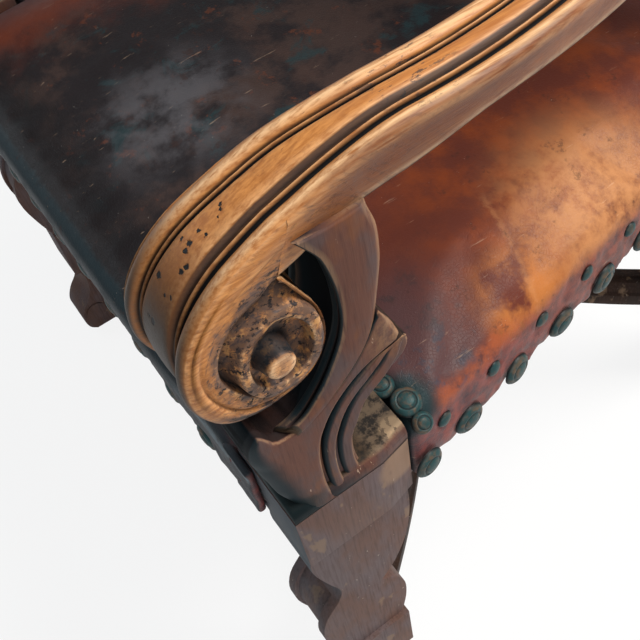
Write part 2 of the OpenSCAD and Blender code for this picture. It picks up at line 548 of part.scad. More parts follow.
function fan_faces(n, base, tip, flip) = [for (i = [0:n - 1])
    let (a = base + i, b = base + (i + 1) % n) flip ? [a, b, tip] : [b, a, tip]];
// A skin between two sets of rows, closed along the first rows and at the middle
module skin(outer, inner, n, outer_rows, inner_rows, tip_out, tip_in) polyhedron(
    points = concat(outer, inner, [tip_out, tip_in]),
    faces = concat(band_faces(n, outer_rows, 0, false), fan_faces(n, (outer_rows - 1) * n, len(outer) + len(inner), false),
        band_faces(n, inner_rows, len(outer), true),
        fan_faces(n, len(outer) + (inner_rows - 1) * n, len(outer) + len(inner) + 1, true),
        [for (i = [0:n - 1]) let (a = i, b = (i + 1) % n, c = len(outer) + i, d = len(outer) + (i + 1) % n)
            each [[a, b, d], [a, d, c]]]));
// A pad closed by a flat base
module pad(rows_pts, n, rows, tip, base_tip) polyhedron(
    points = concat(rows_pts, [tip, base_tip]),
    faces = concat(band_faces(n, rows, 0, false), fan_faces(n, (rows - 1) * n, len(rows_pts), false),
        fan_faces(n, 0, len(rows_pts) + 1, true)));

module seat_hessian() color("#8d7a55") place() translate([0, 0, rail_top + 2 * web_t + 0.2])
    linear_extrude(0.8) polygon([for (v = seat_loop) [v[0] + v[2] * 9, v[1] + v[3] * 9]]);
module seat_stuffing() color("#59463a") place()
    pad(row_points(stuff_rows, seat_loop), loop_n, len(stuff_rows),
        [seat_mid[0], seat_mid[1], seat_h + crown - hide_t - 1.2], [seat_mid[0], seat_mid[1], seat_h - 6.9]);
module seat_cover() color("#8a4526") place() {
    skin(row_points(cover_out, seat_loop), row_points(cover_in, seat_loop), loop_n, len(cover_out),
        len(cover_in), [seat_mid[0], seat_mid[1], seat_h + crown],
        [seat_mid[0], seat_mid[1], seat_h + crown - hide_t]);
    // Nailed bands that hang down over the four rails
    translate([-front_corner[0], seat_front, seat_h - 5 - band_h])
        cube([2 * front_corner[0], hem_t, band_h - rail_drop + 5]);
    translate([-rear_corner[0], seat_rear - hem_t, seat_h - 5 - band_h])
        cube([2 * rear_corner[0], hem_t, band_h - rail_drop + 5]);
    for (m = [0, 1]) mirror([m, 0, 0]) translate([0, 0, seat_h - 5 - band_h])
        linear_extrude(band_h - rail_drop + 5) polygon([for (q = [[0, notch], [0, -notch], [hem_t, -notch], [hem_t, notch]])
            let (y = q[1] > 0 ? block_d + notch : seat_d - notch) [side_x(y) - q[0], y]]);
}

// Back panel, drawn flat: x across, z up the slope, y from front to rear
panel_low = seat_h + panel_z;
panel_mid = (panel_low + back_h - 8) / 2;
panel_hw = half_r - post_w + 11;
panel_hh = (back_h - 8 - panel_low) / 2 / cos(lean_turn);
module on_back() translate([0, lean_y(panel_mid) - y_mid, panel_mid]) rotate([lean_turn, 0, 0]) children();
panel_half = concat([for (i = [0:5]) [panel_hw * i / 6, -panel_hh, 0, 1]], [[panel_hw, -panel_hh, -1, 1]],
    [for (i = [1:7]) [panel_hw, -panel_hh + panel_hh * i / 4, -1, 0]], [[panel_hw, panel_hh, -1, -1]],
    [for (i = [5:-1:0]) [panel_hw * i / 6, panel_hh, 0, -1]]);
panel_n = len(panel_half);
panel_loop = turned(concat(panel_half, [for (i = [panel_n - 2:-1:1]) let (v = panel_half[i]) [-v[0], v[1], -v[2], v[3]]]));
panel_count = len(panel_loop);
swell_rows = [[30, back_swell * 0.74, 0], [30, back_swell * 0.9, 0.4], [30, back_swell * 0.98, 0.75]];
panel_out = concat([[0, 0.3, 0], [0.6, 2.6, 0], [13, 3.4, 0], [17, back_swell * 0.4, 0]], swell_rows);
panel_in = concat([[3, 0.3, 0], [3.6, 0.8, 0], [14, 1.6, 0], [19.4, back_swell * 0.4 - 1.6, 0]],
    [for (r = swell_rows) [r[0] + 1.4, r[1] - 2.2, r[2]]]);
panel_stuff = concat([[24, 5.2, 0], [24.4, 6.2, 0]], [for (r = swell_rows) [r[0] + 3, r[1] - 2.7, r[2]]]);
function panel_point(r, v) = let (p = [v[0] + v[2] * r[0], v[1] + v[3] * r[0]] * (1 - r[2])) [p[0], -r[1], p[1]];
function panel_points(rows) = [for (r = rows, v = panel_loop) panel_point(r, v)];
module back_cover_front() color("#8a4526") on_back()
    skin(panel_points(panel_out), panel_points(panel_in), panel_count, len(panel_out), len(panel_in),
        [0, -back_swell, 0], [0, -back_swell + 2.2, 0]);
module back_stuffing() color("#59463a") on_back()
    pad(panel_points(panel_stuff), panel_count, len(panel_stuff), [0, -back_swell + 2.7, 0], [0, -5.2, 0]);
module back_webbing() color("#a08a63") on_back() {
    for (i = [-1:1]) translate([i * 110 - web_w / 2, -0.1 - web_t, -panel_hh + 24])
        cube([web_w, web_t, 2 * panel_hh - 48]);
    for (k = [-2:2]) translate([-panel_hw + 24, -0.2 - 2 * web_t, k * 92 - web_w / 2])
        cube([2 * panel_hw - 48, web_t, web_w]);
}
module back_cover_rear() color("#6b3622") on_back()
    translate([-panel_hw + 12, back_rail_t + 0.5, -panel_hh + 6]) cube([2 * panel_hw - 24, 2.5, 2 * panel_hh - 12]);

// Domed nail heads, the large ones with a ring sunk in the dome
module nail() rotate_extrude($fn = 32) polygon([[0, 0], [nail_d / 2, 0], [nail_d / 2, 0.8], [nail_d * 0.46, 2.2],
    [nail_d * 0.38, 3.3], [nail_d * 0.34, 3.1], [nail_d * 0.3, 3.6], [nail_d * 0.18, 4.6], [0, 5]]);
module stud() rotate_extrude($fn = 24) polygon([[0, 0], [stud_d / 2, 0], [stud_d * 0.47, 1.1],
    [stud_d * 0.32, 2.3], [0, 2.9]]);
nail_z = seat_h - 49;
stud_z = seat_h - 20.5;
lift_off = 0.3;
module on_front(x, z) place() translate([x, seat_front - lift_off, z]) rotate([90, 0, 0]) children();
module on_rear(x, z) place() translate([x, seat_rear + lift_off, z]) rotate([-90, 0, 0]) children();
module on_side(y, z) place() translate([side_x(y) + lift_off, y, z]) rotate([0, 90, side_turn]) children();
front_nails = floor((front_corner[0] - 1) / nail_pitch - 0.5);
side_nails = floor((seat_d - block_d - 12) / nail_pitch);
rear_nails = floor((rear_corner[0] - nail_d / 2) / nail_pitch);
module seat_nails_large() color("#3f5a55") for (m = [0, 1]) mirror([m, 0, 0]) {
    for (k = [0:front_nails]) on_front((k + 0.5) * nail_pitch, nail_z) nail();
    for (k = [1:side_nails]) on_side(block_d + 5 + k * nail_pitch, nail_z) nail();
    for (k = [0:rear_nails]) if (k > 0 || m == 0) on_rear(k * nail_pitch, nail_z) nail();
    // Nail beside the notch of the front leg
    place() translate([half_w - 18, block_d + 15, seat_h + 9.2]) rotate([-12, 14, 0]) nail();
}
module seat_nails_small() color("#3f5a55") for (m = [0, 1]) mirror([m, 0, 0]) {
    for (k = [0:front_nails]) if (k > 0 || m == 0) on_front(k * nail_pitch, stud_z) stud();
    for (k = [1:side_nails - 1]) on_side(block_d + 28.5 + k * nail_pitch, stud_z) stud();
    on_side(block_d + 30, stud_z) stud();
    for (k = [0:rear_nails - 1]) on_rear((k + 0.5) * nail_pitch, stud_z) stud();
}
panel_nail_x = [for (k = [-4:4]) k * 2 * (panel_hw - 7) / 8];
panel_nail_z = [for (k = [-5:5]) k * 2 * (panel_hh - 7) / 10];
module on_panel(x, z) on_back() translate([x, -3.6, z]) rotate([90, 0, 0]) children();
module back_nails_large() color("#3f5a55") {
    for (x = panel_nail_x, s = [-1, 1]) on_panel(x, s * (panel_hh - 7)) stud();
    for (k = [1:len(panel_nail_z) - 2], s = [-1, 1]) on_panel(s * (panel_hw - 7), panel_nail_z[k]) stud();
}
module back_nails_small() color("#3f5a55") {
    for (k = [0:len(panel_nail_x) - 2], s = [-1, 1])
        on_panel((panel_nail_x[k] + panel_nail_x[k + 1]) / 2, s * (panel_hh - 7)) stud();
    for (k = [0:len(panel_nail_z) - 2], s = [-1, 1])
        on_panel(s * (panel_hw - 7), (panel_nail_z[k] + panel_nail_z[k + 1]) / 2) stud();
}
module rear_nails_small() color("#3f5a55") on_back() for (k = [-4:4], s = [-1, 1])
    translate([k * (panel_hw - 24) / 4, back_rail_t + 3.2, s * (panel_hh - 22)]) rotate([-90, 0, 0]) stud();

front_leg_right();
front_leg_left();
rear_post_right();
rear_post_left();
front_seat_rail();
rear_seat_rail();
side_seat_rail_right();
side_seat_rail_left();
corner_blocks();
stretcher_front_right();
stretcher_front_left();
stretcher_rear_right();
stretcher_rear_left();
stretcher_boss();
arm_support_right();
arm_support_left();
arm_right();
arm_left();
support_dowels();
arm_dowels();
stretcher_dowels();
rail_pegs();
back_top_rail();
back_bottom_rail();
seat_webbing();
seat_hessian();
seat_stuffing();
seat_cover();
back_webbing();
back_stuffing();
back_cover_front();
back_cover_rear();
seat_nails_large();
seat_nails_small();
back_nails_large();
back_nails_small();
rear_nails_small();
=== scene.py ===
import math
import bmesh
import bpy
from mathutils import Matrix, Vector, noise


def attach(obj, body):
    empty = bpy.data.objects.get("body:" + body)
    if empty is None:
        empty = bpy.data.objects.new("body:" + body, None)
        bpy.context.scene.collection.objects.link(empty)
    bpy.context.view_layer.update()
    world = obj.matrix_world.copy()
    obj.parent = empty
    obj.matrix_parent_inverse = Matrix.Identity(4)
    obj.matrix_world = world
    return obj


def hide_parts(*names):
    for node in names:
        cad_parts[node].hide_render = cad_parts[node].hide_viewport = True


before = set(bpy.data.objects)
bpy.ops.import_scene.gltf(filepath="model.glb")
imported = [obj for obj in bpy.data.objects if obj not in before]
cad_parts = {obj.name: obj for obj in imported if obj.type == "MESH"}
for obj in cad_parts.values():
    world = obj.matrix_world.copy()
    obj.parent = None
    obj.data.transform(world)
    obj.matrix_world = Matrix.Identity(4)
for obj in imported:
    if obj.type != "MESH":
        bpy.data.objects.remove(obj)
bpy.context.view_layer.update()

print("frame loaded")

# Local millimetres are counted from the outer front top corner of the right leg block
corner = Vector((0.320, -0.28385, 0.440))
seatHeight = 0.440
yMiddle = 283.85


def at(x, y, z):
    return corner + Vector((x, y, z)) * 0.001


def addObject(name, bm, smooth=True):
    mesh = bpy.data.meshes.new(name)
    bm.to_mesh(mesh)
    bm.free()
    for face in mesh.polygons:
        face.use_smooth = smooth
    obj = bpy.data.objects.new(name, mesh)
    bpy.context.scene.collection.objects.link(obj)
    return obj


def alongTable(table, place):
    # Smooth value between the places that a table gives
    keys = sorted(table)
    if place <= keys[0]:
        return table[keys[0]]
    if place >= keys[-1]:
        return table[keys[-1]]
    k = next(i for i in range(len(keys) - 1) if place <= keys[i + 1])

    def slope(i):
        if i <= 0 or i >= len(keys) - 1:
            return 0.0
        left = (table[keys[i]] - table[keys[i - 1]]) / (keys[i] - keys[i - 1])
        right = (table[keys[i + 1]] - table[keys[i]]) / (keys[i + 1] - keys[i])
        return 0.5 * (left + right)

    span = keys[k + 1] - keys[k]
    t = (place - keys[k]) / span
    a, b = table[keys[k]], table[keys[k + 1]]
    ma, mb = slope(k) * span, slope(k + 1) * span
    return ((2 * t ** 3 - 3 * t ** 2 + 1) * a + (t ** 3 - 2 * t ** 2 + t) * ma
            + (3 * t ** 2 - 2 * t ** 3) * b + (t ** 3 - t ** 2) * mb)


def ease(t):
    t = min(1.0, max(0.0, t))
    return t * t * (3 - 2 * t)


def curvePoints(points, steps):
    # Points of a smooth curve through the given ones
    path = [Vector(p) for p in points]
    out = []
    for i in range(len(path) - 1):
        a, b = path[max(i - 1, 0)], path[i]
        c, d = path[i + 1], path[min(i + 2, len(path) - 1)]
        for k in range(steps):
            t = k / steps
            out.append(0.5 * (2 * b + (c - a) * t + (2 * a - 5 * b + 4 * c - d) * t * t
                              + (3 * b - a - 3 * c + d) * t ** 3))
    out.append(path[-1])
    return out


def sweep(bm, stations, closed, marks=None):
    # Extrudes the first row of points from station to station
    row = bm.verts.layers.int.get("row") or bm.verts.layers.int.new("row")
    # The marks are painted shade, darkest in grooves and hollows
    mark = bm.verts.layers.float.get("dirt") or bm.verts.layers.float.new("dirt")
    first = [bm.verts.new(p) for p in stations[0]]
    for i, v in enumerate(first):
        v[row] = i
        v[mark] = marks[0][i] if marks else 0.0
    edges = [bm.edges.new((first[i], first[i + 1])) for i in range(len(first) - 1)]
    if closed:
        edges.append(bm.edges.new((first[-1], first[0])))
    rings = [first]
    for s, points in enumerate(stations[1:], 1):
        grown = bmesh.ops.extrude_edge_only(bm, edges=edges)["geom"]
        fresh = {g for g in grown if isinstance(g, bmesh.types.BMVert)}
        edges = [g for g in grown if isinstance(g, bmesh.types.BMEdge) and all(v in fresh for v in g.verts)]
        ring = sorted(fresh, key=lambda v: v[row])
        for v in ring:
            v.co = points[v[row]]
            v[mark] = marks[s][v[row]] if marks else 0.0
        rings.append(ring)
    return rings


def fillRing(bm, *rings):
    # A face over each closed loop of edges that joins these points
    for ring in rings:
        inside = set(ring)
        edges = []
        for v in ring:
            edges += [e for e in v.link_edges if e.other_vert(v) in inside and e not in edges]
        bmesh.ops.edgeloop_fill(bm, edges=edges)


def paint(rings, layer, values):
    for ring, row in zip(rings, values):
        for v, value in zip(ring, row):
            v[layer] = value


def layersOf(bm, *names):
    have = bm.verts.layers.float
    return [have.get(n) or have.new(n) for n in names]


def islands(bm):
    # The groups of points that edges join
    seen, out = set(), []
    for v in bm.verts:
        if v in seen:
            continue
        group, todo = [], [v]
        seen.add(v)
        while todo:
            u = todo.pop()
            group.append(u)
            for e in u.link_edges:
                w = e.other_vert(u)
                if w not in seen:
                    seen.add(w)
                    todo.append(w)
        out.append(group)
    return out


def outward(bm):
    bmesh.ops.recalc_face_normals(bm, faces=bm.faces)


def tidy(bm, distance=0.00002):
    bmesh.ops.remove_doubles(bm, verts=bm.verts, dist=distance)
    bmesh.ops.dissolve_degenerate(bm, edges=bm.edges, dist=0.000005)
    outward(bm)


def putBack(obj, bm):
    bm.to_mesh(obj.data)
    bm.free()
    for face in obj.data.polygons:
        face.use_smooth = True


def cadCopy(node, flatten=True):
    # The mesh of a CAD piece, its points merged and its flat faces joined
    bm = bmesh.new()
    bm.from_mesh(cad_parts[node].data)
    bmesh.ops.remove_doubles(bm, verts=bm.verts, dist=0.00001)
    if flatten:
        bmesh.ops.dissolve_limit(bm, angle_limit=math.radians(0.6), verts=bm.verts, edges=bm.edges)
    return bm


def settle(obj, *nodes, slot=None, material=None):
    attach(obj, "root")
    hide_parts(*nodes)
    if material:
        obj.data.materials.clear()
        obj.data.materials.append(material)


def leftTwin(obj, name, node, slot, material):
    # The piece of the left side, mirrored from the right one
    bm = bmesh.new()
    bm.from_mesh(obj.data)
    bmesh.ops.scale(bm, vec=(-1, 1, 1), verts=bm.verts)
    outward(bm)
    twin = addObject(name, bm)
    settle(twin, node, slot=slot, material=material)
    return twin


# Camera, at the photograph's place and angle
view = {"place": (0.5137, -0.33195, 0.8732), "lens": 48.9375, "sensor": 36.0,
        "right": (0.56843, 0.81180, -0.13389), "up": (-0.61395, 0.52684, 0.58783),
        "ahead": (-0.54772, 0.25194, -0.79783)}
cameraData = bpy.data.cameras.new("camera")
cameraData.lens = view["lens"]
cameraData.sensor_width = view["sensor"]
cameraData.sensor_fit = "HORIZONTAL"
cameraData.clip_start = 0.01
camera = bpy.data.objects.new("camera", cameraData)
bpy.context.scene.collection.objects.link(camera)
turn = Matrix((view["right"], view["up"], [-a for a in view["ahead"]])).transposed().to_4x4()
camera.matrix_world = Matrix.Translation(view["place"]) @ turn
bpy.context.scene.camera = camera


class Wire:
    # A socket that can be added, multiplied and so on, and that makes further nodes
    def __init__(self, tree, socket=None):
        self.tree = tree
        self.socket = socket

    def make(self, kind, settings=None, inputs=None, out=0):
        node = self.tree.nodes.new("ShaderNode" + kind)
        for key, value in (settings or {}).items():
            setattr(node, key, value)
        for key, value in (inputs or {}).items():
            socket = node.inputs[key]
            if isinstance(value, Wire):
                self.tree.links.new(value.socket, socket)
            else:
                socket.default_value = value
        return Wire(self.tree, node.outputs[out])

    def math(self, operation, *values):
        return self.make("Math", {"operation": operation}, dict(enumerate(values)))

    def __add__(self, other):
        return self.math("ADD", self, other)

    __radd__ = __add__

    def __sub__(self, other):
        return self.math("SUBTRACT", self, other)

    def __rsub__(self, other):
        return self.math("SUBTRACT", other, self)

    def __mul__(self, other):
        return self.math("MULTIPLY", self, other)

    __rmul__ = __mul__

    def held(self):
        return self.make("Clamp", None, {0: self})

    def between(self, low, high):
        # 0 below low, 1 above high, smooth between
        return self.make("MapRange", {"interpolation_type": "SMOOTHSTEP"},
                         {0: self, 1: low, 2: high, 3: 0.0, 4: 1.0})


class Finish:
    # A material with its tones by name, its local millimetres and its shader
    def __init__(self, name, look, roughness, **fixed):
        self.look = look
        self.material = bpy.data.materials.new(name)
        self.material.use_nodes = True
        self.tree = self.material.node_tree
        self.tree.nodes.clear()
        self.pen = Wire(self.tree)
        self.tone = None
        place = self.pen.make("TexCoord", None, None, out=3)
        self.mm = self.pen.make("Mapping", None, {0: place, 1: tuple(-1000 * c for c in corner),
                                                  3: (1000, 1000, 1000)})
        split = self.pen.make("SeparateXYZ", None, {0: place})
        side = split.math("ABSOLUTE", split)
        self.x = (side - corner.x) * 1000
        self.y = (Wire(self.tree, split.socket.node.outputs[1]) - corner.y) * 1000
        self.z = (Wire(self.tree, split.socket.node.outputs[2]) - corner.z) * 1000
        normal = self.pen.make("NewGeometry", None, None, out=1)
        facing = self.pen.make("SeparateXYZ", None, {0: normal})
        self.front = Wire(self.tree, facing.socket.node.outputs[1]) * -1
        self.upward = Wire(self.tree, facing.socket.node.outputs[2])
        self.shader = self.tree.nodes.new("ShaderNodeBsdfPrincipled")
        self.shader.inputs["Roughness"].default_value = roughness
        for key, value in fixed.items():
            self.shader.inputs[key.replace("_", " ")].default_value = value
        output = self.tree.nodes.new("ShaderNodeOutputMaterial")
        self.tree.links.new(self.shader.outputs[0], output.inputs[0])

    def vector(self, scale=(1, 1, 1), turn=(0, 0, 0)):
        return self.pen.make("Mapping", None, {0: self.mm, 2: turn, 3: scale})

    def noise(self, size, detail, rough, stretch=(1, 1, 1), distortion=0.0, turn=(0, 0, 0)):
        # Size in millimetres; a stretch under 1 draws the pattern out along that axis
        scale = tuple(s / size for s in stretch)
        return self.pen.make("TexNoise", None,
                             {"Vector": self.vector(scale, turn), "Scale": 1.0, "Detail": detail,
                              "Roughness": rough, "Distortion": distortion})

    def mark(self, name):
        return self.pen.make("Attribute", {"attribute_name": name}, None, out=2)

    def mix(self, factor, a, b):
        def colour(value):
            return value if isinstance(value, Wire) else (*self.look[value], 1.0)
        return self.pen.make("Mix", {"data_type": "RGBA", "clamp_factor": True},
                             {0: factor, 6: colour(a), 7: colour(b)}, out=2)

    def over(self, mask, tone):
        # Lays a tone over the finish's colour where the mask is high
        self.tone = self.mix(mask, self.tone, tone)

    def spot(self, x, y, z, radius, soft=0.35, ragged=None):
        # A round mask about a point, in local millimetres, its edge moved by a noise
        dx, dy, dz = self.x - x, self.y - y, self.z - z
        far = self.pen.math("SQRT", dx * dx + dy * dy + dz * dz)
        if ragged:
            far = far + ragged
        return 1 - far.between(radius * (1 - soft), radius)

    def finish(self, roughness, height, strength, distance):
        bump = self.pen.make("Bump", None, {"Strength": strength, "Distance": distance, "Height": height})
        for key, wire in (("Base Color", self.tone), ("Roughness", roughness), ("Normal", bump)):
            self.tree.links.new(wire.socket, self.shader.inputs[key])
        return self.material


# Arm wood: honey where hands polished it, red brown on the flank, black painted shade in the grooves
armWoodLook = {"honey": (0.58, 0.245, 0.070), "amber": (0.36, 0.128, 0.032), "flank": (0.115, 0.032, 0.013),
               "dark": (0.005, 0.005, 0.006), "slate": (0.013, 0.016, 0.020), "pale": (0.92, 0.66, 0.40),
               "flankFine": (0.19, 0.062, 0.022), "russet": (0.33, 0.125, 0.05),
               "browned": (0.185, 0.090, 0.052), "greyPatch": (0.085, 0.062, 0.060),
               "speckle": (0.035, 0.028, 0.028), "crust": (0.105, 0.060, 0.042),
               "gold": (0.50, 0.255, 0.085), "pit": (0.014, 0.013, 0.014), "ring": (0.050, 0.036, 0.036),
               "streak": (0.14, 0.052, 0.028), "mottle": (0.06, 0.04, 0.035),
               "inward": (0.13, 0.075, 0.055), "brow": (0.21, 0.078, 0.026), "shade": (0.022, 0.018, 0.014),
               "underside": (0.035, 0.022, 0.018), "eye": (17.0, 149.0)}


def makeArmWood():
    f = Finish("armWood", armWoodLook, 0.42, Specular_IOR_Level=0.16)
    dirt = f.mark("dirt")
    face = f.mark("face")
    grain = f.noise(1.6, 6, 0.62, (1, 0.05, 1))
    fine = f.noise(0.55, 3, 0.6, (1, 0.04, 1))
    wide = f.noise(26, 3, 0.5, (1, 0.5, 1))
    f.tone = f.mix(grain.between(0.32, 0.68), "amber", "honey")
    flank = f.mix(fine.between(0.3, 0.75), "flank", "flankFine")
    rear = (f.y + wide * 30).between(34, 84)
    under = 1 - (f.z + f.y * -0.16 + wide * 6).between(202, 212)
    flankMask = (face * rear * (0.84 + under * 0.14)).held()
    f.over(flankMask, flank)
    f.over(wide.between(0.52, 0.75) * 0.45, "russet")
    # Pale on the crests: a painted highlight, where the wood is also rubbed by wear
    crest = f.mark("crest")
    f.over(crest * 0.6 * grain.between(0.25, 0.6), "pale")
    worn = (f.mark("wear") * 1.0).held()
    browned = worn * f.noise(20, 5, 0.65).between(0.38, 0.60)
    f.over(browned * 0.8, "browned")
    patch = f.noise(10, 5, 0.68).between(0.53, 0.60) * worn
    f.over(patch * 0.7, "greyPatch")
    pits = f.noise(3.0, 5, 0.7, (1, 0.6, 1)).between(0.56, 0.60)
    speckle = worn * pits
    f.over(speckle * 0.9, "speckle")
    deep = (f.mark("wear") - 1.0).held()
    crust = f.noise(8, 5, 0.68)
    f.over(deep * crust.between(0.40, 0.54) * 0.88, "crust")
    f.over(deep * (1 - crust.between(0.36, 0.46)) * 0.7, "gold")
    f.over(deep * pits * 0.9, "pit")
    eyeY, eyeZ = armWoodLook["eye"]
    down, along = f.z - eyeZ, f.y - eyeY
    away = (down * down + along * along).math("SQRT", down * down + along * along)
    turn = away.math("ARCTAN2", down * -1, along * -1)
    ringed = f.pen.make("CombineXYZ", None, {0: away, 1: turn * 5.0, 2: f.x * 0.2})
    turned = f.pen.make("TexNoise", None, {"Vector": ringed, "Scale": 0.62, "Detail": 5.0, "Roughness": 0.72})
    line = turned.between(0.53, 0.60) * face * worn
    f.over(line * 0.85, "ring")
    streak = f.noise(1.1, 4, 0.7, (1, 0.09, 1)).between(0.64, 0.70)
    f.over(streak * 0.55, "streak")
    mottle = f.noise(2.6, 4, 0.7, (1, 0.35, 1)).between(0.55, 0.62)
    dark = f.spot(-24, 108, 224, 34, 0.8) * mottle
    f.over(dark * 0.85, "mottle")
    # Painted dark shade on the steep narrow wall of the cove, and on the wall of the volute's knob
    f.over(f.mark("strip") * 0.85, "slate")
    # Painted shade on the inner edge of the top, which faces away from the light
    inward = (1 - f.x.between(-46, -41)) * (1 - face) * (1 - f.y.between(90, 130))
    f.over(inward * grain.between(0.35, 0.6) * 0.7, "inward")
    # Painted shade, browner and softer, on faces of the top turned to the front
    brown = f.front.between(0.30, 0.75) * (1 - face)
    f.over(brown * 0.65, "brow")
    shade = f.front.between(0.66, 0.97) * (1 - face)
    f.over(shade * 0.92, "shade")
    # Painted shade on faces turned downward
    low = 1 - f.upward.between(-0.75, -0.1)
    f.over(low * 0.85, "underside")
    holes, uneven = None, (f.noise(1.5, 2, 0.6) - 0.5) * 3.0
    for x, y, z, radius in [(-26.3, 8.4, 200.7, 1.3), (-25.3, 5.8, 199.6, 1.2), (-20.6, 2.7, 196.8, 1.3),
                            (-21.4, 0.3, 195.4, 1.2), (-31.2, -5.9, 189.1, 1.4), (-27.0, -16.0, 173.2, 1.5),
                            (-23.3, -8.4, 186.3, 0.7), (-19.9, -7.3, 187.4, 0.7), (-31.1, 7.6, 200.2, 1.0),
                            (-26.5, 13.6, 203.7, 0.7), (-22.5, 14.3, 204.1, 0.7), (-26.2, 23.6, 208.3, 0.9),
                            (-27.8, 24.9, 208.7, 0.8), (-30.5, -17.2, 174, 1.7), (-24.4, 21.5, 207.2, 0.6)]:
        hole = f.spot(x, y, z, radius * 1.25, 0.35, uneven)
        holes = hole if holes is None else holes.math("MAXIMUM", holes, hole)
    f.over(holes, "dark")
    # Painted shade, near black, in the grooves, the recesses of the volute and round its knob
    f.over(dirt, "dark")
    rough = (0.34 + grain * 0.16 + speckle * 0.25 + dirt * 0.3).held()
    height = grain * 0.5 + fine * 0.25 - speckle * 0.9 - holes * 4 - streak * 0.3
    return f.finish(rough, height, 0.5, 0.0006)


# Support wood: purple brown, painted blue-green shade on its front faces, black painted shade in the grooves
supportWoodLook = {"warm": (0.108, 0.047, 0.034), "cool": (0.086, 0.056, 0.054),
                   "front": (0.003, 0.015, 0.021), "grain": (0.038, 0.020, 0.017),
                   "fine": (0.17, 0.085, 0.055), "glow": (0.165, 0.060, 0.024), "fleck": (0.48, 0.34, 0.25),
                   "tan": (0.27, 0.15, 0.075), "wornEdge": (0.42, 0.25, 0.14),
                   "plateDark": (0.022, 0.020, 0.017), "plateLight": (0.085, 0.055, 0.032),
                   "chip": (0.42, 0.29, 0.17), "ledge": (0.20, 0.145, 0.10), "nose": (0.012, 0.020, 0.022),
                   "dirt": (0.010, 0.010, 0.011), "lip": (0.155, 0.100, 0.062)}


def makeSupportWood():
    f = Finish("supportWood", supportWoodLook, 0.46, Specular_IOR_Level=0.05)
    dirt = f.mark("dirt")
    grain = f.noise(1.5, 5, 0.6, (1, 1, 0.06))
    fine = f.noise(0.5, 3, 0.6, (1, 1, 0.05))
    cloud = f.noise(24, 4, 0.6, (1, 1, 0.6))
    f.tone = f.mix(cloud.between(0.38, 0.62), "warm", "cool")
    f.over(grain.between(0.45, 0.75) * 0.5, "grain")
    f.over(fine.between(0.5, 0.8) * 0.3, "fine")
    warmth = f.noise(17, 3, 0.6, (1, 1, 0.5)).between(0.54, 0.70)
    f.over(warmth * 0.55, "glow")
    fleck = f.noise(4.5, 3, 0.7, (1, 1, 0.25)).between(0.70, 0.73)
    f.over(fleck * 0.6, "fleck")
    tan = f.spot(-14, 80, 112, 30, 0.7) * f.noise(7, 4, 0.65).between(0.36, 0.6)
    f.over(tan * 0.75, "tan")
    edge = f.mark("crest")
    f.over(edge * grain.between(0.3, 0.55) * 0.8, "wornEdge")
    # Painted blue-green shade on faces turned to the front
    facing = (f.front + cloud * 0.2).between(0.12, 0.68)
    f.over(facing * 0.95, "front")
    plate = (1 - f.z.between(14.2, 15.2)) * f.upward.between(0.6, 0.95)
    crusty = f.noise(9, 5, 0.7)
    plateTone = f.mix(crusty.between(0.4, 0.62), "plateDark", "plateLight")
    f.over(plate * 0.95, plateTone)
    chip = f.noise(6, 4, 0.6).between(0.47, 0.52) * f.spot(-9, 73, 13, 8.5, 0.3)
    f.over(chip * plate * 0.9, "chip")
    # Painted highlight along the plate's rounded edge, broken up by the crust
    ledge = f.z.between(10.5, 12.4) * (1 - f.z.between(13.5, 14.5)) * f.y.between(50, 60)
    f.over(ledge * crusty.between(0.40, 0.56) * 0.6, "ledge")
    # Painted blue-green shade low on the front, where the scroll meets the block
    nose = (1 - f.y.between(8, 30)) * (1 - f.z.between(15, 22))
    f.over(nose * 0.9, "nose")
    # Painted shade in the strap's hollow, its grooves and at the foot of each raised form
    f.over(dirt * 0.95, "dirt")
    f.over(f.mark("lip") * crusty.between(0.3, 0.5) * 0.85, "lip")
    rough = 0.40 + cloud * 0.14 + dirt * 0.25
    height = grain * 0.6 + fine * 0.3 - fleck * 0.5
    return f.finish(rough, height, 0.35, 0.0004)


# Frame wood, and the darker one of the stretcher: warm and cool tone of each
frameWoodLook = {"warm": (0.120, 0.066, 0.052), "cool": (0.118, 0.088, 0.090),
                 "tieWarm": (0.030, 0.016, 0.011), "tieCool": (0.024, 0.018, 0.016),
                 "grain": (0.055, 0.032, 0.026),
                 "patch": (0.23, 0.15, 0.095), "fleck": (0.42, 0.36, 0.30), "front": (0.065, 0.095, 0.115),
                 "tan": (0.24, 0.155, 0.105)}


def makeFrameWood(name, warm, cool):
    f = Finish(name, frameWoodLook, 0.5, Specular_IOR_Level=0.06)
    grain = f.noise(1.8, 5, 0.62, (1, 1, 0.06))
    cloud = f.noise(30, 4, 0.6, (1, 1, 0.5))
    f.tone = f.mix(cloud.between(0.36, 0.64), warm, cool)
    f.over(grain.between(0.42, 0.72) * 0.6, "grain")
    patch = f.noise(16, 3, 0.55, (1, 1, 0.5)).between(0.60, 0.68)
    f.over(patch * 0.55, "patch")
    fleck = f.noise(3.2, 3, 0.7, (1, 1, 0.5)).between(0.70, 0.73)
    f.over(fleck * 0.7, "fleck")
    # Painted bluish light on the front faces of the upper frame
    facing = f.front.between(0.5, 0.98) * (1 - f.y.between(20, 60)) * (f.z + cloud * 120).between(-170, 0)
    f.over(facing * 0.7, "front")
    tan = f.spot(0, 78, -14, 26, 0.3) * f.noise(22, 3, 0.5, (1, 1, 0.4)).between(0.36, 0.42)
    f.over(tan * 0.75, "tan")
    rough = 0.42 + cloud * 0.2
    height = grain * 0.7 - fleck * 0.4
    return f.finish(rough, height, 0.35, 0.0005)


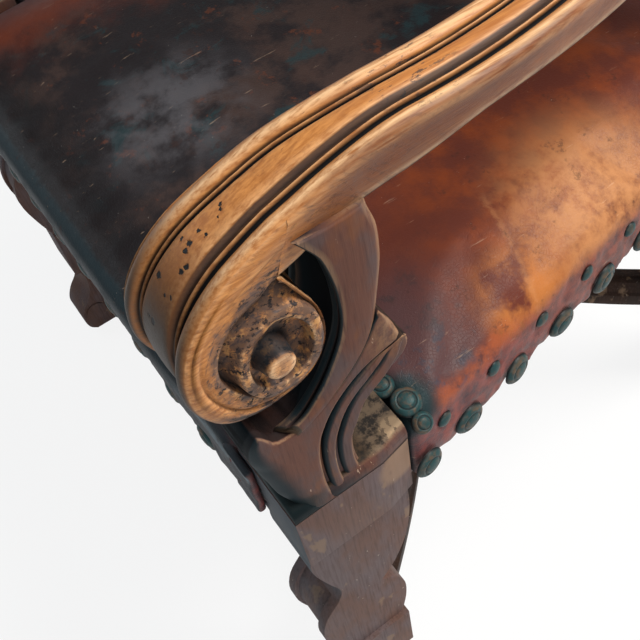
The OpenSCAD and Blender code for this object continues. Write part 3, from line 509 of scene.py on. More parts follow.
# Seat leather: saddle orange toward the right side, nearly black toward the front and left
leatherLook = {"saddle": (0.215, 0.046, 0.014), "tan": (0.30, 0.100, 0.030), "pale": (0.52, 0.240, 0.100),
               "rust": (0.115, 0.028, 0.017), "plum": (0.066, 0.036, 0.039), "black": (0.014, 0.013, 0.015),
               "teal": (0.014, 0.040, 0.046), "umber": (0.050, 0.032, 0.028),
               "saffron": (0.44, 0.155, 0.040), "plumDark": (0.036, 0.028, 0.030),
               "fold": (0.33, 0.080, 0.030), "bruise": (0.050, 0.052, 0.078),
               "ember": (0.115, 0.036, 0.018), "grey": (0.100, 0.098, 0.108),
               "frontBlack": (0.003, 0.004, 0.005), "rim": (0.016, 0.040, 0.050),
               "nailPatch": (0.010, 0.030, 0.034), "bandDark": (0.060, 0.030, 0.036),
               "bandLight": (0.190, 0.050, 0.045), "frontBand": (0.010, 0.020, 0.026),
               "gleam": (0.150, 0.205, 0.235), "blotch": (0.045, 0.022, 0.018),
               "scratch": (0.80, 0.55, 0.38), "speck": (0.50, 0.46, 0.42)}


def makeLeather(name, zoned):
    f = Finish(name, leatherLook, 0.42, Specular_IOR_Level=0.12)
    big = f.noise(120, 5, 0.6, distortion=0.4)
    cloud = f.noise(42, 5, 0.62)
    small = f.noise(9, 5, 0.66)
    pore = f.noise(0.9, 3, 0.6)
    crease = f.pen.make("TexVoronoi", {"feature": "DISTANCE_TO_EDGE"},
                        {"Vector": f.vector((1 / 2.4, 1 / 2.4, 1 / 2.4)), "Scale": 1.0})
    f.tone = f.mix(cloud.between(0.40, 0.64), "rust", "saddle")
    if not zoned:
        f.over(big.between(0.46, 0.66) * small.between(0.3, 0.6), "tan")
    else:
        far = (f.y + cloud * 60).between(190, 245)
        f.over((1 - far) * 0.75, "rust")
        crossed = f.y + f.x * 0.242 - 193.8 + small * 12 - 6
        beyond = crossed.between(-2, 12)
        nearSide = (f.x + cloud * 50).between(-95, -35)
        f.over(beyond * nearSide * small.between(0.30, 0.62) * 0.75, "tan")
        paler = f.spot(-58, 284, 11, 96, 0.95) * (big * 0.6 + small * 0.4).between(0.28, 0.60)
        f.over(paler * 0.85, "pale")
        saffron = f.spot(-34, 196, 3, 46, 0.75) * cloud.between(0.34, 0.52)
        f.over(saffron * 0.85, "saffron")
        line = crossed.between(-4, -1) * (1 - crossed.between(0, 3)) * (f.x + 105).between(0, 12)
        f.over(line * small.between(0.35, 0.55) * 0.22, "pale")
        plum = (1 - (f.y + cloud * 70).between(160, 215)) * (f.x + cloud * 40).between(-95, -45)
        f.over(plum * 0.85, "plum")
        mottled = f.noise(14, 5, 0.7).between(0.50, 0.64)
        f.over(plum * mottled * 0.7, "plumDark")
        fold = (f.x + f.y * 0.17 + cloud * 26).between(10, 20) * (f.y + small * 20).between(112, 128)
        f.over(fold * (1 - far) * small.between(0.3, 0.55) * 0.75, "fold")
        # Painted bluish sheen on the fold near the side, in mottled patches
        bruise = (1 - (f.y + cloud * 50).between(150, 185)) * (f.x + f.y * 0.17 + cloud * 30).between(-14, 4)
        f.over(bruise * mottled * 0.5, "bruise")
        inner = 1 - (f.x + f.y * 0.25 + cloud * 90 + small * 12).between(-120, -40)
        dark = f.mix(f.noise(70, 5, 0.66).between(0.46, 0.62), "black", "umber")
        # Painted blue-green reflection in patches over the dark leather
        dark = f.mix(f.noise(46, 5, 0.7, distortion=0.6).between(0.55, 0.66) * 0.8, dark, "teal")
        dark = f.mix(f.noise(24, 5, 0.7).between(0.60, 0.68) * 0.75, dark, "ember")
        grey = f.spot(-318, 108, 14, 92, 0.85) * cloud.between(0.36, 0.60)
        dark = f.mix(grey * 0.85, dark, "grey")
        dark = f.mix((1 - (f.y + cloud * 40).between(34, 84)) * 0.93, dark, "frontBlack")
        f.over(inner * 0.97, dark)
        # Painted blue-green reflection along the top of the rounded front edge
        rim = (1 - (f.y + small * 10).between(1, 8)) * f.upward.between(0.1, 0.9)
        f.over(rim * 0.7, "rim")
        gleam = f.z.between(-19, -12) * (1 - f.z.between(-8, -3))
        gleam = gleam * f.x.between(-150, -95) * (1 - f.x.between(-44, -30))
        # Painted shade on the leather beside the corner nails, under the arm support
        nailPatch = f.spot(-18, 88, 5, 27, 0.5)
        f.over(nailPatch * 0.92, "nailPatch")
        band = 1 - f.z.between(-16, -3)
        bandTone = f.mix(small.between(0.35, 0.65), "bandDark", "bandLight")
        f.over(band * 0.85, bandTone)
        # Painted shade on leather turned to the front
        frontBand = f.front.between(0.4, 0.9)
        f.over(frontBand * 0.9, "frontBand")
        f.over(gleam * frontBand * small.between(0.3, 0.6) * 0.7, "gleam")
    blotch = f.noise(17, 5, 0.7).between(0.60, 0.68)
    f.over(blotch * 0.5, "blotch")
    scratch = f.noise(3.4, 3, 0.6, (1, 0.10, 1), turn=(0, 0, 0.7)).between(0.68, 0.74)
    f.over(scratch * 0.5, f.mix(0.35, f.tone, "scratch"))
    speck = f.noise(1.7, 2, 0.5).between(0.77, 0.80)
    f.over(speck * 0.6, "speck")
    rough = (0.33 + small * 0.22 + blotch * 0.08).held()
    height = pore * 0.35 + (1 - crease.between(0.0, 0.12)) * -0.3 + small * 1.2 - scratch * 0.5
    return f.finish(rough, height, 0.35, 0.0007)


nailMetalLook = {"green": (0.014, 0.047, 0.050), "grey": (0.038, 0.050, 0.046),
                 "worn": (0.115, 0.070, 0.042), "spot": (0.025, 0.022, 0.020),
                 "dirt": (0.008, 0.010, 0.011)}


def makeNailMetal():
    f = Finish("nailMetal", nailMetalLook, 0.45, Metallic=0.12, Specular_IOR_Level=0.18)
    cloud = f.noise(7, 4, 0.65)
    small = f.noise(1.6, 3, 0.6)
    worn = f.mark("crest")
    f.tone = f.mix(cloud.between(0.4, 0.62), "green", "grey")
    f.over((worn * cloud.between(0.44, 0.64) * 0.75).held(), "worn")
    f.over(small.between(0.58, 0.7) * 0.6, "spot")
    # Painted shade at the rim of each head and in its turned groove
    f.over(f.mark("dirt") * 0.9, "dirt")
    return f.finish(0.36 + small * 0.2, small, 0.3, 0.0004)


armWood = makeArmWood()
supportWood = makeSupportWood()
frameWood = makeFrameWood("frameWood", "warm", "cool")
tieWood = makeFrameWood("tieWood", "tieWarm", "tieCool")
seatHide = makeLeather("seatHide", True)
backHide = makeLeather("backHide", False)
nailMetal = makeNailMetal()
print("materials made")

# The volute at each angle, 90 degrees up and 180 forward: distances of its lines from the eye, heights of
# its ring, floors and edge, and how far the inner side, the incised line and the bands move
eye = {"y": 17.0, "z": 149.0, "baseRadius": 9.0, "topRadius": 6.7, "height": 8.6}
voluteLook = {
    "outer": {72: 67.9, 76: 64.9, 80: 62.1, 85: 59.0, 90: 56.5, 100: 52.7, 110: 49.5, 120: 46.9, 130: 44.8,
        140: 43.1, 150: 41.6, 160: 40.5, 170: 39.7, 180: 39.4, 190: 39.4, 200: 39.4, 207: 39.6, 217: 40.0,
        227: 39.8, 236: 38.8, 244: 37.2, 255: 35.2, 268: 32.8, 284: 32.2, 298: 31.5, 314: 30.0, 332: 27.9,
        350: 26.6, 367: 26.2, 382: 26.8, 404: 28.8, 420: 33.2, 432: 38.4},
    "edge": {72: 37.8, 84: 32.2, 94: 30.7, 109: 29.2, 124: 27.8, 139: 26.2, 154: 24.8, 173: 23.2, 196: 21.5,
        215: 21.4, 230: 22.9, 240: 24.6, 257: 27.2, 275: 28.6, 288: 28.8, 315: 28.2, 331: 26.9, 350: 25.8,
        370: 25.6, 400: 27.6, 415: 31.0, 424: 34.2, 432: 37.8},
    "ringCrest": {72: 23.6, 94: 20.4, 117: 18.6, 136: 17.6, 166: 15.8, 190: 16.8, 205: 18.0, 224: 20.4,
        240: 22.9, 257: 25.2, 275: 26.2, 300: 26.6, 315: 26.4, 331: 25.2, 350: 24.4, 370: 24.3, 400: 25.9,
        415: 25.9, 432: 23.6},
    "ringInner": {72: 18.6, 94: 15.0, 120: 12.8, 150: 11.3, 180: 11.2, 205: 12.3, 230: 15.0, 250: 17.6,
        270: 19.4, 304: 20.5, 322: 20.3, 346: 19.2, 370: 18.6, 397: 19.0, 420: 19.2, 432: 18.6},
    "ringTop": {72: 0.8, 94: 0.7, 117: 0.9, 150: 1.6, 190: 2.1, 230: 2.1, 270: 2.2, 310: 2.3, 350: 2.3,
        390: 2.0, 415: 1.3, 432: 0.8},
    "floorOne": {72: -4.6, 94: -4.8, 120: -5.4, 150: -5.8, 180: -6.2, 205: -6.2, 222: -5.0, 234: -2.6,
        245: -1.6, 300: -1.8, 331: -1.9, 360: -2.4, 395: -3.2, 415: -4.2, 432: -4.6},
    "floorTwo": {72: -4.0, 94: -3.2, 120: -2.0, 180: -1.6, 230: -2.4, 270: -3.8, 320: -5.4, 360: -6.0,
        400: -5.4, 432: -4.0},
    "edgeTop": {72: -2.9, 94: -2.2, 124: -1.2, 154: -0.6, 196: -0.3, 230: -0.6, 257: -1.0, 300: -1.5,
        331: -1.8, 360: -2.3, 395: -3.1, 415: -4.1, 432: -4.5},
    "innerShift": {72: -0.8, 90: -2.8, 116: -4.8, 137: -6.3, 160: -8.4, 180: -9.4, 220: -9.4, 270: -7.5,
        330: -5.5, 432: -3.0},
    "incised": {72: 0.55, 140: 0.55, 152: 0.52, 163: 0.50, 186: 0.46, 205: 0.46, 232: 0.48, 254: 0.45,
        300: 0.5, 432: 0.5},
    "incisedDepth": {72: 0.0, 138: 0.0, 160: 0.7, 200: 1.3, 245: 1.3, 275: 0.5, 300: 0.0, 432: 0.0},
    "bandSink": {72: 0.0, 116: 0.4, 137: 1.2, 160: 2.2, 180: 2.6, 230: 2.6, 300: 1.5, 360: 0.5, 432: 0.0},
    "grooveShare": {72: 1.0, 300: 1.0, 350: 0.5, 400: 0.2, 432: 0.2}}

# The bands over the top: place across, depth under the crest, painted shade in the grooves, group and crest
# mark for the painted highlight
# group 0 moves with the outer edge, 1 spreads between, 2 moves with the inner edge
bands = [(-1.4, 1.2, 0, 0, 0.1), (-2.8, 0.4, 0, 0, 0.35), (-4.4, 0, 0, 0, 1), (-6, 0.35, 0, 0, 0.45),
         (-7.4, 1, 0, 0, 0.1), (-8.3, 1.8, 0.5, 0, 0), (-8.8, 3.2, 1, 0, 0), (-9.3, 5.2, 1, 0, 0),
         (-10.7, 5.4, 1, 0, 0), (-11.1, 3, 1, 0, 0), (-11.5, 1.6, 0.4, 0, 0.1), (-12.1, 1.15, 0, 0, 0.5),
         (-12.6, 1.6, 0.4, 0, 0.1), (-12.9, 2.8, 1, 0, 0), (-13.3, 4.4, 1, 0, 0), (-14.1, 4.2, 1, 0, 0),
         (-14.7, 3, 0.6, 0, 0), (-15.6, 1.9, 0.15, 0, 0), (-16.5, 1.1, 0, 0, 0), (-17.3, 0.55, 0, 1, 0.4),
         (-19.2, 0.3, 0, 1, 0.2), (-22, 0.1, 0, 1, 0), (-25, 0.1, 0, 1, 0), (-28, 0.3, 0, 1, 0),
         (-30, 0.65, 0.05, 2, 0.15), (-30.6, 1.3, 0.5, 2, 0), (-31, 3, 1, 2, 0), (-31.3, 5, 1, 2, 0),
         (-32.5, 5.1, 1, 2, 0), (-32.8, 2.6, 1, 2, 0), (-33.1, 1.5, 0.4, 2, 0.1), (-33.6, 1.15, 0, 2, 0.4),
         (-34.1, 1.6, 0.5, 2, 0.1), (-34.4, 2.6, 1, 2, 0), (-34.8, 4.4, 1, 2, 0), (-35.5, 4.2, 1, 2, 0),
         (-35.9, 2.4, 0.8, 2, 0), (-36.4, 1.3, 0.1, 2, 0), (-37.6, 0.45, 0, 2, 0.5), (-39.8, 0, 0, 2, 1),
         (-42.2, 0.75, 0, 2, 0.5), (-44.2, 2.4, 0, 2, 0.1)]
innerEdge = -45.6


def bandPoint(row, shift):
    x, group = row[0], row[3]
    if group == 2:
        return x + shift
    if group == 1:
        return x + shift * (-17.2 - x) / 13.0
    return x


def roll(angle):
    # One radial section of the volute, from the outer eye over the bands to the inner eye
    rOut, rA, rC, rB, top, low1, low2, xA, shift, share, depth, sink, grooved = (
        alongTable(table, angle) for table in voluteLook.values())
    rA = max(min(rA, rOut - 0.5), rC + 0.9)
    wide = rOut - rA
    rB = min(rB, rC - 3.0)
    kb, kt, kh = eye["baseRadius"], eye["topRadius"], eye["height"]
    step = max(rB - kb, 0.6)
    # Each side point: radius, x, painted shade and crest
    side = [(0.0, kh - 0.2, 0, 0.2), (kt * 0.5, kh, 0, 0.3), (kt * 0.84, kh - 0.3, 0, 1.0),
            (kt, kh - 1.1, 0.25, 0.4), (kt + 0.5, kh - 2.8, 0.35, 0), (kb - 0.5, low2 + 2.0, 0.45, 0),
            (kb, low2 + 0.4, 0.75, 0), (kb + step * 0.3, low2, 0.35, 0), (kb + step * 0.7, low2 + 0.1, 0.1, 0),
            (rB - 0.25, low2 + 0.9, 0.5, 0), (rB, top - 1.0, 0.1, 0.2), (rB + 0.5, top - 0.25, 0, 1.0),
            (rB + 1.4, top, 0, 0.5), ((rB + rC) / 2, top + 0.25, 0, 0), (rC - 1.4, top, 0, 0.4),
            (rC - 0.5, top - 0.3, 0, 0.6), (rC, top - 1.2, 0, 0.3),
            (rC + min(1.6, (rA - rC) * 0.30), low1 * 0.55 + top * 0.2, 0.15, 0),
            (rC + (rA - rC) * 0.55, low1 + 0.3, 0.55, 0), (rA - 0.15, low1, 0.95, 0),
            (rA, xA - 0.5, 0.2, 0), (rA + min(0.5, wide * 0.08), xA, 0, 0.6),
            (rA + min(2.0, wide * 0.2), xA + 0.15, 0, 0)]
    line = rA + wide * share
    gap = min(1.0, wide * 0.08)
    near = min(1.6, wide * 0.12)
    swell = 0.5 * min(1.0, wide / 12)
    side += [(line - gap * 1.6, xA * 0.75 + swell, 0, 0),
             (line - gap, xA * 0.7 + swell - depth * 0.8, 0.1, 0),
             (line, xA * 0.6 + swell - depth, 0.1 + min(depth * 0.3, 0.4), 0),
             (line + gap * 0.8, xA * 0.5 + swell, 0, 0.2),
             ((line + rOut) / 2, xA * 0.3 + swell, 0, 0), (rOut - near * 3.0, xA * 0.2 + swell * 0.4, 0, 0),
             (rOut - near * 1.9, xA * 0.15 - 0.2, 0, 0.1), (rOut - near * 1.15, xA * 0.2 - 0.7, 0, 0.3)]
    direction = Vector((0, math.cos(math.radians(angle)), math.sin(math.radians(angle))))
    middle = Vector((0, eye["y"], eye["z"]))
    points, marks = [], []
    for r, x, d, c in side:
        points.append(middle + direction * r + Vector((x, 0, 0)))
        marks.append((d, c))
    for row in bands:
        x, d = bandPoint(row, shift), row[1] * (grooved if row[2] > 0.2 else 1)
        inside = min(1.0, max(0.0, (-x - 9) / 3)) * min(1.0, max(0.0, (x - innerEdge - shift - 8.5) / 3))
        points.append(middle + direction * (rOut - d - sink * inside) + Vector((x, 0, 0)))
        beaded = ease((angle - 138) / 25) * 0.85 if (-15.9 < row[0] < -8.2 or -36.0 < row[0] < -30.5) else 0.0
        marks.append((max(row[2] * grooved, beaded), row[4] * (1 - beaded)))
    far = innerEdge + shift
    for r, x, d, c in reversed(side):
        points.append(middle + direction * r + Vector((far - x, 0, 0)))
        marks.append((d, c))
    return points, marks, len(side)


def armMarks(marks, sideCount, wearing, eyeWear=None):
    # Painted groove shade, crest, face, wear and painted wall shade of each point of one section
    count = len(marks)
    edge = [min(i, count - 1 - i) for i in range(count)]
    wrap = 2 if eyeWear is None else 0
    face = [1.0 if i < sideCount + wrap or e < sideCount else 0.0 for i, e in enumerate(edge)]
    wear = [wearing if e < sideCount else wearing * 0.3 for e in edge]
    strip = [1.0 if 16 <= i - sideCount <= 18 else 0.0 for i in range(count)]
    if eyeWear is not None:
        wear = [0.4 if e < 4 else eyeWear if e < sideCount - 8 else w for e, w in zip(edge, wear)]
        strip = [0.95 if 4 <= e <= 6 else w for e, w in zip(edge, strip)]
    return [m[0] for m in marks], [m[1] for m in marks], face, wear, strip


def layArm(bm, sections, closed):
    # Sweeps sections of points and their marks
    points, dirt, *others = zip(*sections)
    rings = sweep(bm, [[at(*p) for p in row] for row in points], closed, dirt)
    for layer, rows in zip(layersOf(bm, "crest", "face", "wear", "strip"), others):
        paint(rings, layer, rows)
    return rings


# The straight part behind the knuckle: upper and lower points near it, its end, and its depth by y
barLook = {"upper": [(37.98, 213.58), (46, 216.0), (56, 218.8), (70, 222.0), (84, 224.3), (96, 225.0)],
           "lower": [(28.68, 184.95), (40, 188.3), (52, 193.2), (66, 197.0), (80, 198.6), (92, 199.2)],
           "deep": {96: 25.5, 106: 24.3, 133: 20.4, 160: 20.5, 240: 26.0, 491: 31.0},
           "start": 96, "end": 491.0, "sections": 30, "rearWidth": 30, "rearX": -94}


def barSpans():
    look = barLook
    upper, lower = (curvePoints([(0, *p) for p in look[side]], 4) for side in ("upper", "lower"))
    spans = list(zip(upper, lower))
    for k in range(1, look["sections"] + 1):
        s = k / look["sections"]
        y = look["start"] + (look["end"] - look["start"]) * s
        z = 225.0 - 5.5 * math.sin(math.pi * s) + 4 * s
        spans.append((Vector((0, y, z)), Vector((0, y - 4, z - alongTable(look["deep"], y)))))
    return spans


def barSection(u, l):
    # Side, bands and side again; each point of a side is its depth, x, painted shade and crest
    way, tall = (l - u).normalized(), (l - u).length
    shift = -0.8 + 6.5 * ease((u.y - 39) / 55)
    side = [(tall, -4.6, 0.2, 0), (tall - 0.6, -3.2, 0, 0.4), (tall - 2.4, -2.4, 0, 0.6),
            (tall - 5, -2.3, 0, 0.1), (tall * 0.6, -2.0, 0, 0), (tall * 0.36, -1.2, 0, 0),
            (5.2, -0.35, 0, 0.1), (3.0, -0.3, 0, 0.3)]
    inner = innerEdge + shift
    section = side + [(row[1], bandPoint(row, shift), row[2], row[4]) for row in bands]
    section += [(d, inner - x, a, b) for d, x, a, b in reversed(side)]
    # The rear stretch drifts inward and narrows toward the post
    centre = (-2.5 + inner) / 2
    drift = ease((u.y - 108) / 383)
    share = 1 + (barLook["rearWidth"] / (-inner + 0.5) - 1) * drift
    move = (barLook["rearX"] - centre) * drift
    points = []
    for d, x, a, b in section:
        p = u + way * d
        points.append(Vector((centre + (x - centre) * share + move, p.y, p.z)))
    wearing = 0.22 * (1 - ease((u.y - 60) / 60)) + 0.08
    return points, *armMarks([row[2:] for row in section], len(side), wearing)


def finishArm():
    bm = bmesh.new()
    layersOf(bm, "crest", "face", "wear", "strip")
    sections = []
    for angle in range(72, 433, 3):
        points, marks, sideCount = roll(angle)
        wearing = 0.2 + 0.8 * ease((angle - 195) / 50)
        sections.append((points, *armMarks(marks, sideCount, wearing, 2.0)))
    layArm(bm, sections, False)
    rings = layArm(bm, [barSection(u, l) for u, l in barSpans()], True)
    fillRing(bm, rings[-1])
    tidy(bm)
    return addObject("armRight", bm)


armRight = finishArm()
settle(armRight, "arm_right", slot="arm_wood", material=armWood)
leftTwin(armRight, "armLeft", "arm_left", "arm_wood", armWood)
print("arms made")


def sideCurve(points, count):
    # The same curve at evenly spread places
    fine = curvePoints([(0, y, z) for y, z in points], 12)
    run = [0.0]
    for p, q in zip(fine, fine[1:]):
        run.append(run[-1] + (q - p).length)
    out, k = [], 0
    for i in range(count):
        want = run[-1] * i / (count - 1)
        while k < len(run) - 2 and run[k + 1] < want:
            k += 1
        out.append(fine[k].lerp(fine[k + 1], (want - run[k]) / max(run[k + 1] - run[k], 1e-6)))
    return out


def crossing(a, b, c, d):
    def turn(p, q, r):
        return (q.y - p.y) * (r.z - p.z) - (q.z - p.z) * (r.y - p.y)
    return turn(a, b, c) * turn(a, b, d) < 0 and turn(c, d, a) * turn(c, d, b) < 0


def settledRadii(outline, inward, radii):
    # Smaller radii wherever the inset outline would cross itself
    n = len(outline)
    for trial in range(60):
        inset = [p + w * r for p, w, r in zip(outline, inward, radii)]
        shrink = set()
        for i in range(n):
            a, b = inset[i], inset[(i + 1) % n]
            along = outline[(i + 1) % n] - outline[i]
            if (b - a).dot(along) < 0.02 * along.length_squared:
                shrink.update((i, (i + 1) % n))
            for j in range(i + 2, n):
                if (j + 1) % n == i:
                    continue
                c, d = inset[j], inset[(j + 1) % n]
                if max(c.y, d.y) < min(a.y, b.y) or min(c.y, d.y) > max(a.y, b.y):
                    continue
                if crossing(a, b, c, d):
                    shrink.update((i, (i + 1) % n, j, (j + 1) % n))
        if not shrink:
            break
        radii = [r * 0.82 if i in shrink else r for i, r in enumerate(radii)]
        for k in range(n):
            radii[k] = min(radii[k], radii[k - 1] + 1.2, radii[(k + 1) % n] + 1.2)
    return radii


def relief(bm, outline, radii, top, middle=-23.0, footShade=0.0, flat=0.4):
    # A raised form with rounded edges: side outline, radius at each point and height of its face, with painted
    # shade on the wall at its foot
    dirt, crest = layersOf(bm, "dirt", "crest")
    n = len(outline)
    inward = []
    for i in range(n):
        way = outline[(i + 1) % n] - outline[i - 1]
        inward.append(Vector((0, -way.z, way.y)).normalized())
    radii = settledRadii(outline, inward, radii)
    stations, crests, shadeRows = [], [], []
    steps = [(0, None), (0, 0.0), (1, 0.14), (2, 0.30), (3, 0.5), (4, 0.75), (5, 1.0)]
    for k, share in steps:
        angle = math.pi / 2 * (share or 0)
        ring = []
        for p, w, r in zip(outline, inward, radii):
            x = middle if share is None else top - r * flat * 2 * (1 - math.sin(angle))
            ring.append(at(x, *(p + w * r * (1 - math.cos(angle)))[1:]))
        stations.append(ring)
        crests.append([0.5 if k in (2, 3) and r < 6 else 0.0 for r in radii])
        shadeRows.append([footShade if share is None or share < 0.1 else 0.0] * n)
    rings = sweep(bm, stations, True, shadeRows)
    paint(rings, crest, crests)
    fillRing(bm, rings[-1])
    return rings


# Arm support: an upper strap with a hollow front, and a lower scroll that it grows out of
strapLook = {
    "rear": [(71.4, 199.5), (72.5, 193.6), (75.3, 183), (75.8, 172), (75.3, 161.6), (73.6, 151.4),
        (71.6, 141), (69.2, 130), (66.4, 119.5), (61.5, 110), (54.5, 101.5), (45.5, 93.5), (35.5, 86),
        (25.3, 81.2), (17.3, 78.6)],
    "front": [(37, 200.5), (41, 194.2), (46.2, 184.6), (49.2, 171.5), (50.8, 158.7), (50.7, 142.8),
        (48.4, 131.5), (44.2, 121.5), (37.4, 109.4), (31.5, 101.4), (23.3, 92.6), (15.6, 88.6)],
    "thickness": 46.0, "hollow": 11.0, "rim": 3.2, "tipBow": 14.0, "sections": 46}
scrollLook = {
    "front": [(19, -0.2), (11.4, 1.5), (4.7, 11.6), (0, 25.4), (-2.3, 38.6), (-5.5, 56.1), (-7.4, 71.5),
        (-6.8, 84), (-5.2, 92), (-1.4, 98.6), (2.6, 92.4), (6.0, 86.0), (13, 84.6), (26, 86), (37, 92.5),
        (49, 102), (58, 112.5), (65, 124), (69.6, 131.5)],
    "tipTop": [(69.6, 131.5), (76.2, 117.2), (80, 104.6), (83, 97)],
    "rear": [(83, 97), (86.2, 92), (86.3, 87.2), (83.6, 81.6), (79, 78.4), (73.8, 75.3), (64, 69.8),
        (59.2, 66), (55.6, 60), (52.2, 52.2), (49.3, 46.5), (47.6, 41), (46.5, 30), (47, 18.6), (49, 8),
        (52, 0)],
    "groove": [(80.6, 102.6), (67.5, 100.0), (59.5, 97.6), (52.3, 94.0), (44.5, 88.0), (37.6, 80.6),
        (32.2, 72), (28.2, 62.5), (25.8, 50), (24.8, 34.5), (25.0, 20), (26.1, 6.2), (28, -0.1)],
    "beads": [(0.10, 0.42, -0.7), (0.53, 0.92, -2.0)],
    "floor": -4.6}
# The plate's outline, and its height, inset, wear and painted shade at each level
plateLook = {"plan": [(-0.15, 0.6), (-0.15, 59.5), (-3.9, 79.2), (-59.9, 79.7), (-59.9, 0.6)],
             "levels": [(0.15, 0, 0, 0.6), (3, 0, 0, 0), (6.5, 0, 0, 0), (8.6, 0.5, 0, 0), (10.6, 1.4, 0, 0),
                        (12.2, 2.8, 0.3, 0), (12.9, 4.4, 0.4, 0), (13.0, 7.0, 0.0, 0.2), (12.8, 14, 0, 0.3)]}


def finishStrap(bm):
    # The upper strap: a section with a hollow front, swept down the two side curves
    look = strapLook
    thick, rim, deep, count = look["thickness"], look["rim"], look["hollow"], look["sections"]
    rear, front = sideCurve(look["rear"], count), sideCurve(look["front"], count)
    # Each point: x, share from front to rear, millimetres to the rear, painted shade and crest
    half = [(-1.2, 0, 0.0, 0.2, 0.5), (-0.5, 0, 0.35, 0, 1.0), (0.0, 0, 1.1, 0, 0.7), (0.35, 0.14, 0, 0, 0),
            (0.7, 0.4, 0, 0, 0), (0.45, 0.68, 0, 0, 0), (-0.2, 1, -4.4, 0, 0), (-1.3, 1, -1.9, 0, 0.5),
            (-2.8, 1, -0.6, 0, 0.6), (-5.0, 1, 0, 0, 0.1), (-14, 1, 0.4, 0, 0)]
    cove = [(-2.0, 0, 0.6, 0.8, 0), (-2.2, 0, 3.4, 1, 0), (-3.6, 0, 3.4, 1, 0), (-3.9, 0, 1.1, 0.5, 0),
            (-4.4, 0, 0.6, 0, 0.8), (-4.4 - rim * 0.5, 0, 0.45, 0, 0.1), (-4.4 - rim, 0, 0.7, 0, 1),
            (-5.3 - rim, 0, 2.2, 0.1, 0.6), (-6.2 - rim, 0, deep * 0.5, 0.45, 0),
            (-12.5, 0, deep * 0.8, 0.75, 0), (-18, 0, deep, 0.85, 0)]
    section = half + [(-thick - h[0], *h[1:]) for h in reversed(half)]
    section += [(-thick - c[0], *c[1:]) for c in cove] + [(-thick / 2, 0, deep * 1.04, 0.9, 0)] + cove[::-1]
    stations, shadeRows, crests = [], [], []
    for i in range(count):
        share = i / (count - 1)
        f, r = front[i], rear[i]
        wide = (r - f).length
        way = (r - f) / wide
        ahead = (front[min(i + 1, count - 1)] - front[max(i - 1, 0)]).normalized()
        squeeze = min(1.0, wide / 17)
        fade = 1 - 0.75 * ease((share - 0.95) / 0.05)
        bow = look["tipBow"] * ease((share - 0.80) / 0.20)
        points = []
        for x, across, inward, dark, worn in section:
            inward *= squeeze * (fade if dark > 0.3 else 1)
            fromMiddle = (x + thick / 2) / (thick / 2)
            q = f.lerp(r, across) + way * inward + ahead * (bow * (1 - fromMiddle ** 2))
            points.append(at(x, q.y, q.z))
        stations.append(points)
        shadeRows.append([row[3] * (1 if share < 0.9 else fade) for row in section])
        crests.append([min(1.0, row[4] + (0.7 if share > 0.985 else 0)) for row in section])
    rings = sweep(bm, stations, True, shadeRows)
    crest, lip = layersOf(bm, "crest", "lip")
    paint(rings, crest, crests)
    paint(rings[-1:], lip, [[1.0] * len(section)])
    fillRing(bm, rings[-1])
    fillRing(bm, rings[0])


def finishScroll(bm):
    # The scroll in three levels: its core, the body in front, and the beads along its back
    look = scrollLook
    fore, crown = sideCurve(look["front"], 64), sideCurve(look["tipTop"], 9)
    back, line = sideCurve(look["rear"], 44), sideCurve(look["groove"], 44)
    core = fore + crown[1:] + back[1:]
    horn = max(range(50), key=lambda i: fore[i].z if fore[i].y < 6 else 0)
    radii = [9.0 * ease((horn - i) / 8) + 2.0 if i < horn else 2.5 for i in range(len(core))]
    relief(bm, core[::-1], radii[::-1], look["floor"])
    body = fore + crown[1:-2] + line[1:]
    radii = [2.5 + 12.5 * ease((horn - i) / 9) * (0.55 + 0.45 * ease(i / 6)) for i in range(horn)]
    radii += [2.2] * (len(fore) - horn) + [4.5] * (len(crown) - 3) + [3.4] * (len(line) - 1)
    for k in range(4):
        radii = [(radii[i - 1] + 2 * radii[i] + radii[(i + 1) % len(radii)]) / 4 for i in range(len(radii))]
    relief(bm, body[::-1], radii[::-1], 0.0, footShade=0.85)
    last = len(line) - 1
    ways = [(min(back, key=lambda q: (q - p).length) - p).normalized() for p in line]
    for k in range(3):
        ways = [(ways[max(i - 1, 0)] + ways[i] + ways[min(i + 1, last)]).normalized()
                for i in range(len(line))]
    spaces = [min((q - p).length for q in back) for p in line]
    for near, far, top in look["beads"]:
        firstSide = [p + w * near * r for p, w, r in zip(line, ways, spaces)]
        otherSide = [p + w * far * r for p, w, r in zip(line, ways, spaces)]
        bead = firstSide + otherSide[::-1]
        relief(bm, bead, [2.6] * len(bead), top, footShade=0.9, flat=0.5)


def finishPlate(bm):
    # Plate on the block, its outer edge worn round
    look = plateLook
    stations, crests, shadeRows = [], [], []
    for z, inset, worn, dark in look["levels"]:
        stations.append([at(x - inset * (1.0 if x > -10 else -0.2), y + (inset * 0.6 if y < 5 else 0), z)
                         for x, y in look["plan"]])
        crests.append([worn if x > -10 else 0.0 for x, y in look["plan"]])
        shadeRows.append([dark] * len(look["plan"]))
    rings = sweep(bm, stations, True, shadeRows)
    paint(rings, layersOf(bm, "crest")[0], crests)
    fillRing(bm, rings[-1], rings[0])


def finishSupport():
    # Open forms that stand on the block; twoSided then adds the scroll's inner side
    bm = bmesh.new()
    layersOf(bm, "dirt", "crest", "lip")
    finishStrap(bm)
    finishScroll(bm)
    finishPlate(bm)
    bmesh.ops.bisect_plane(bm, geom=bm.verts[:] + bm.edges[:] + bm.faces[:], plane_co=at(0, 0, 0.1),
                           plane_no=(0, 0, 1), clear_inner=True)
    tidy(bm, 0.000005)
    return addObject("armSupportRight", bm)


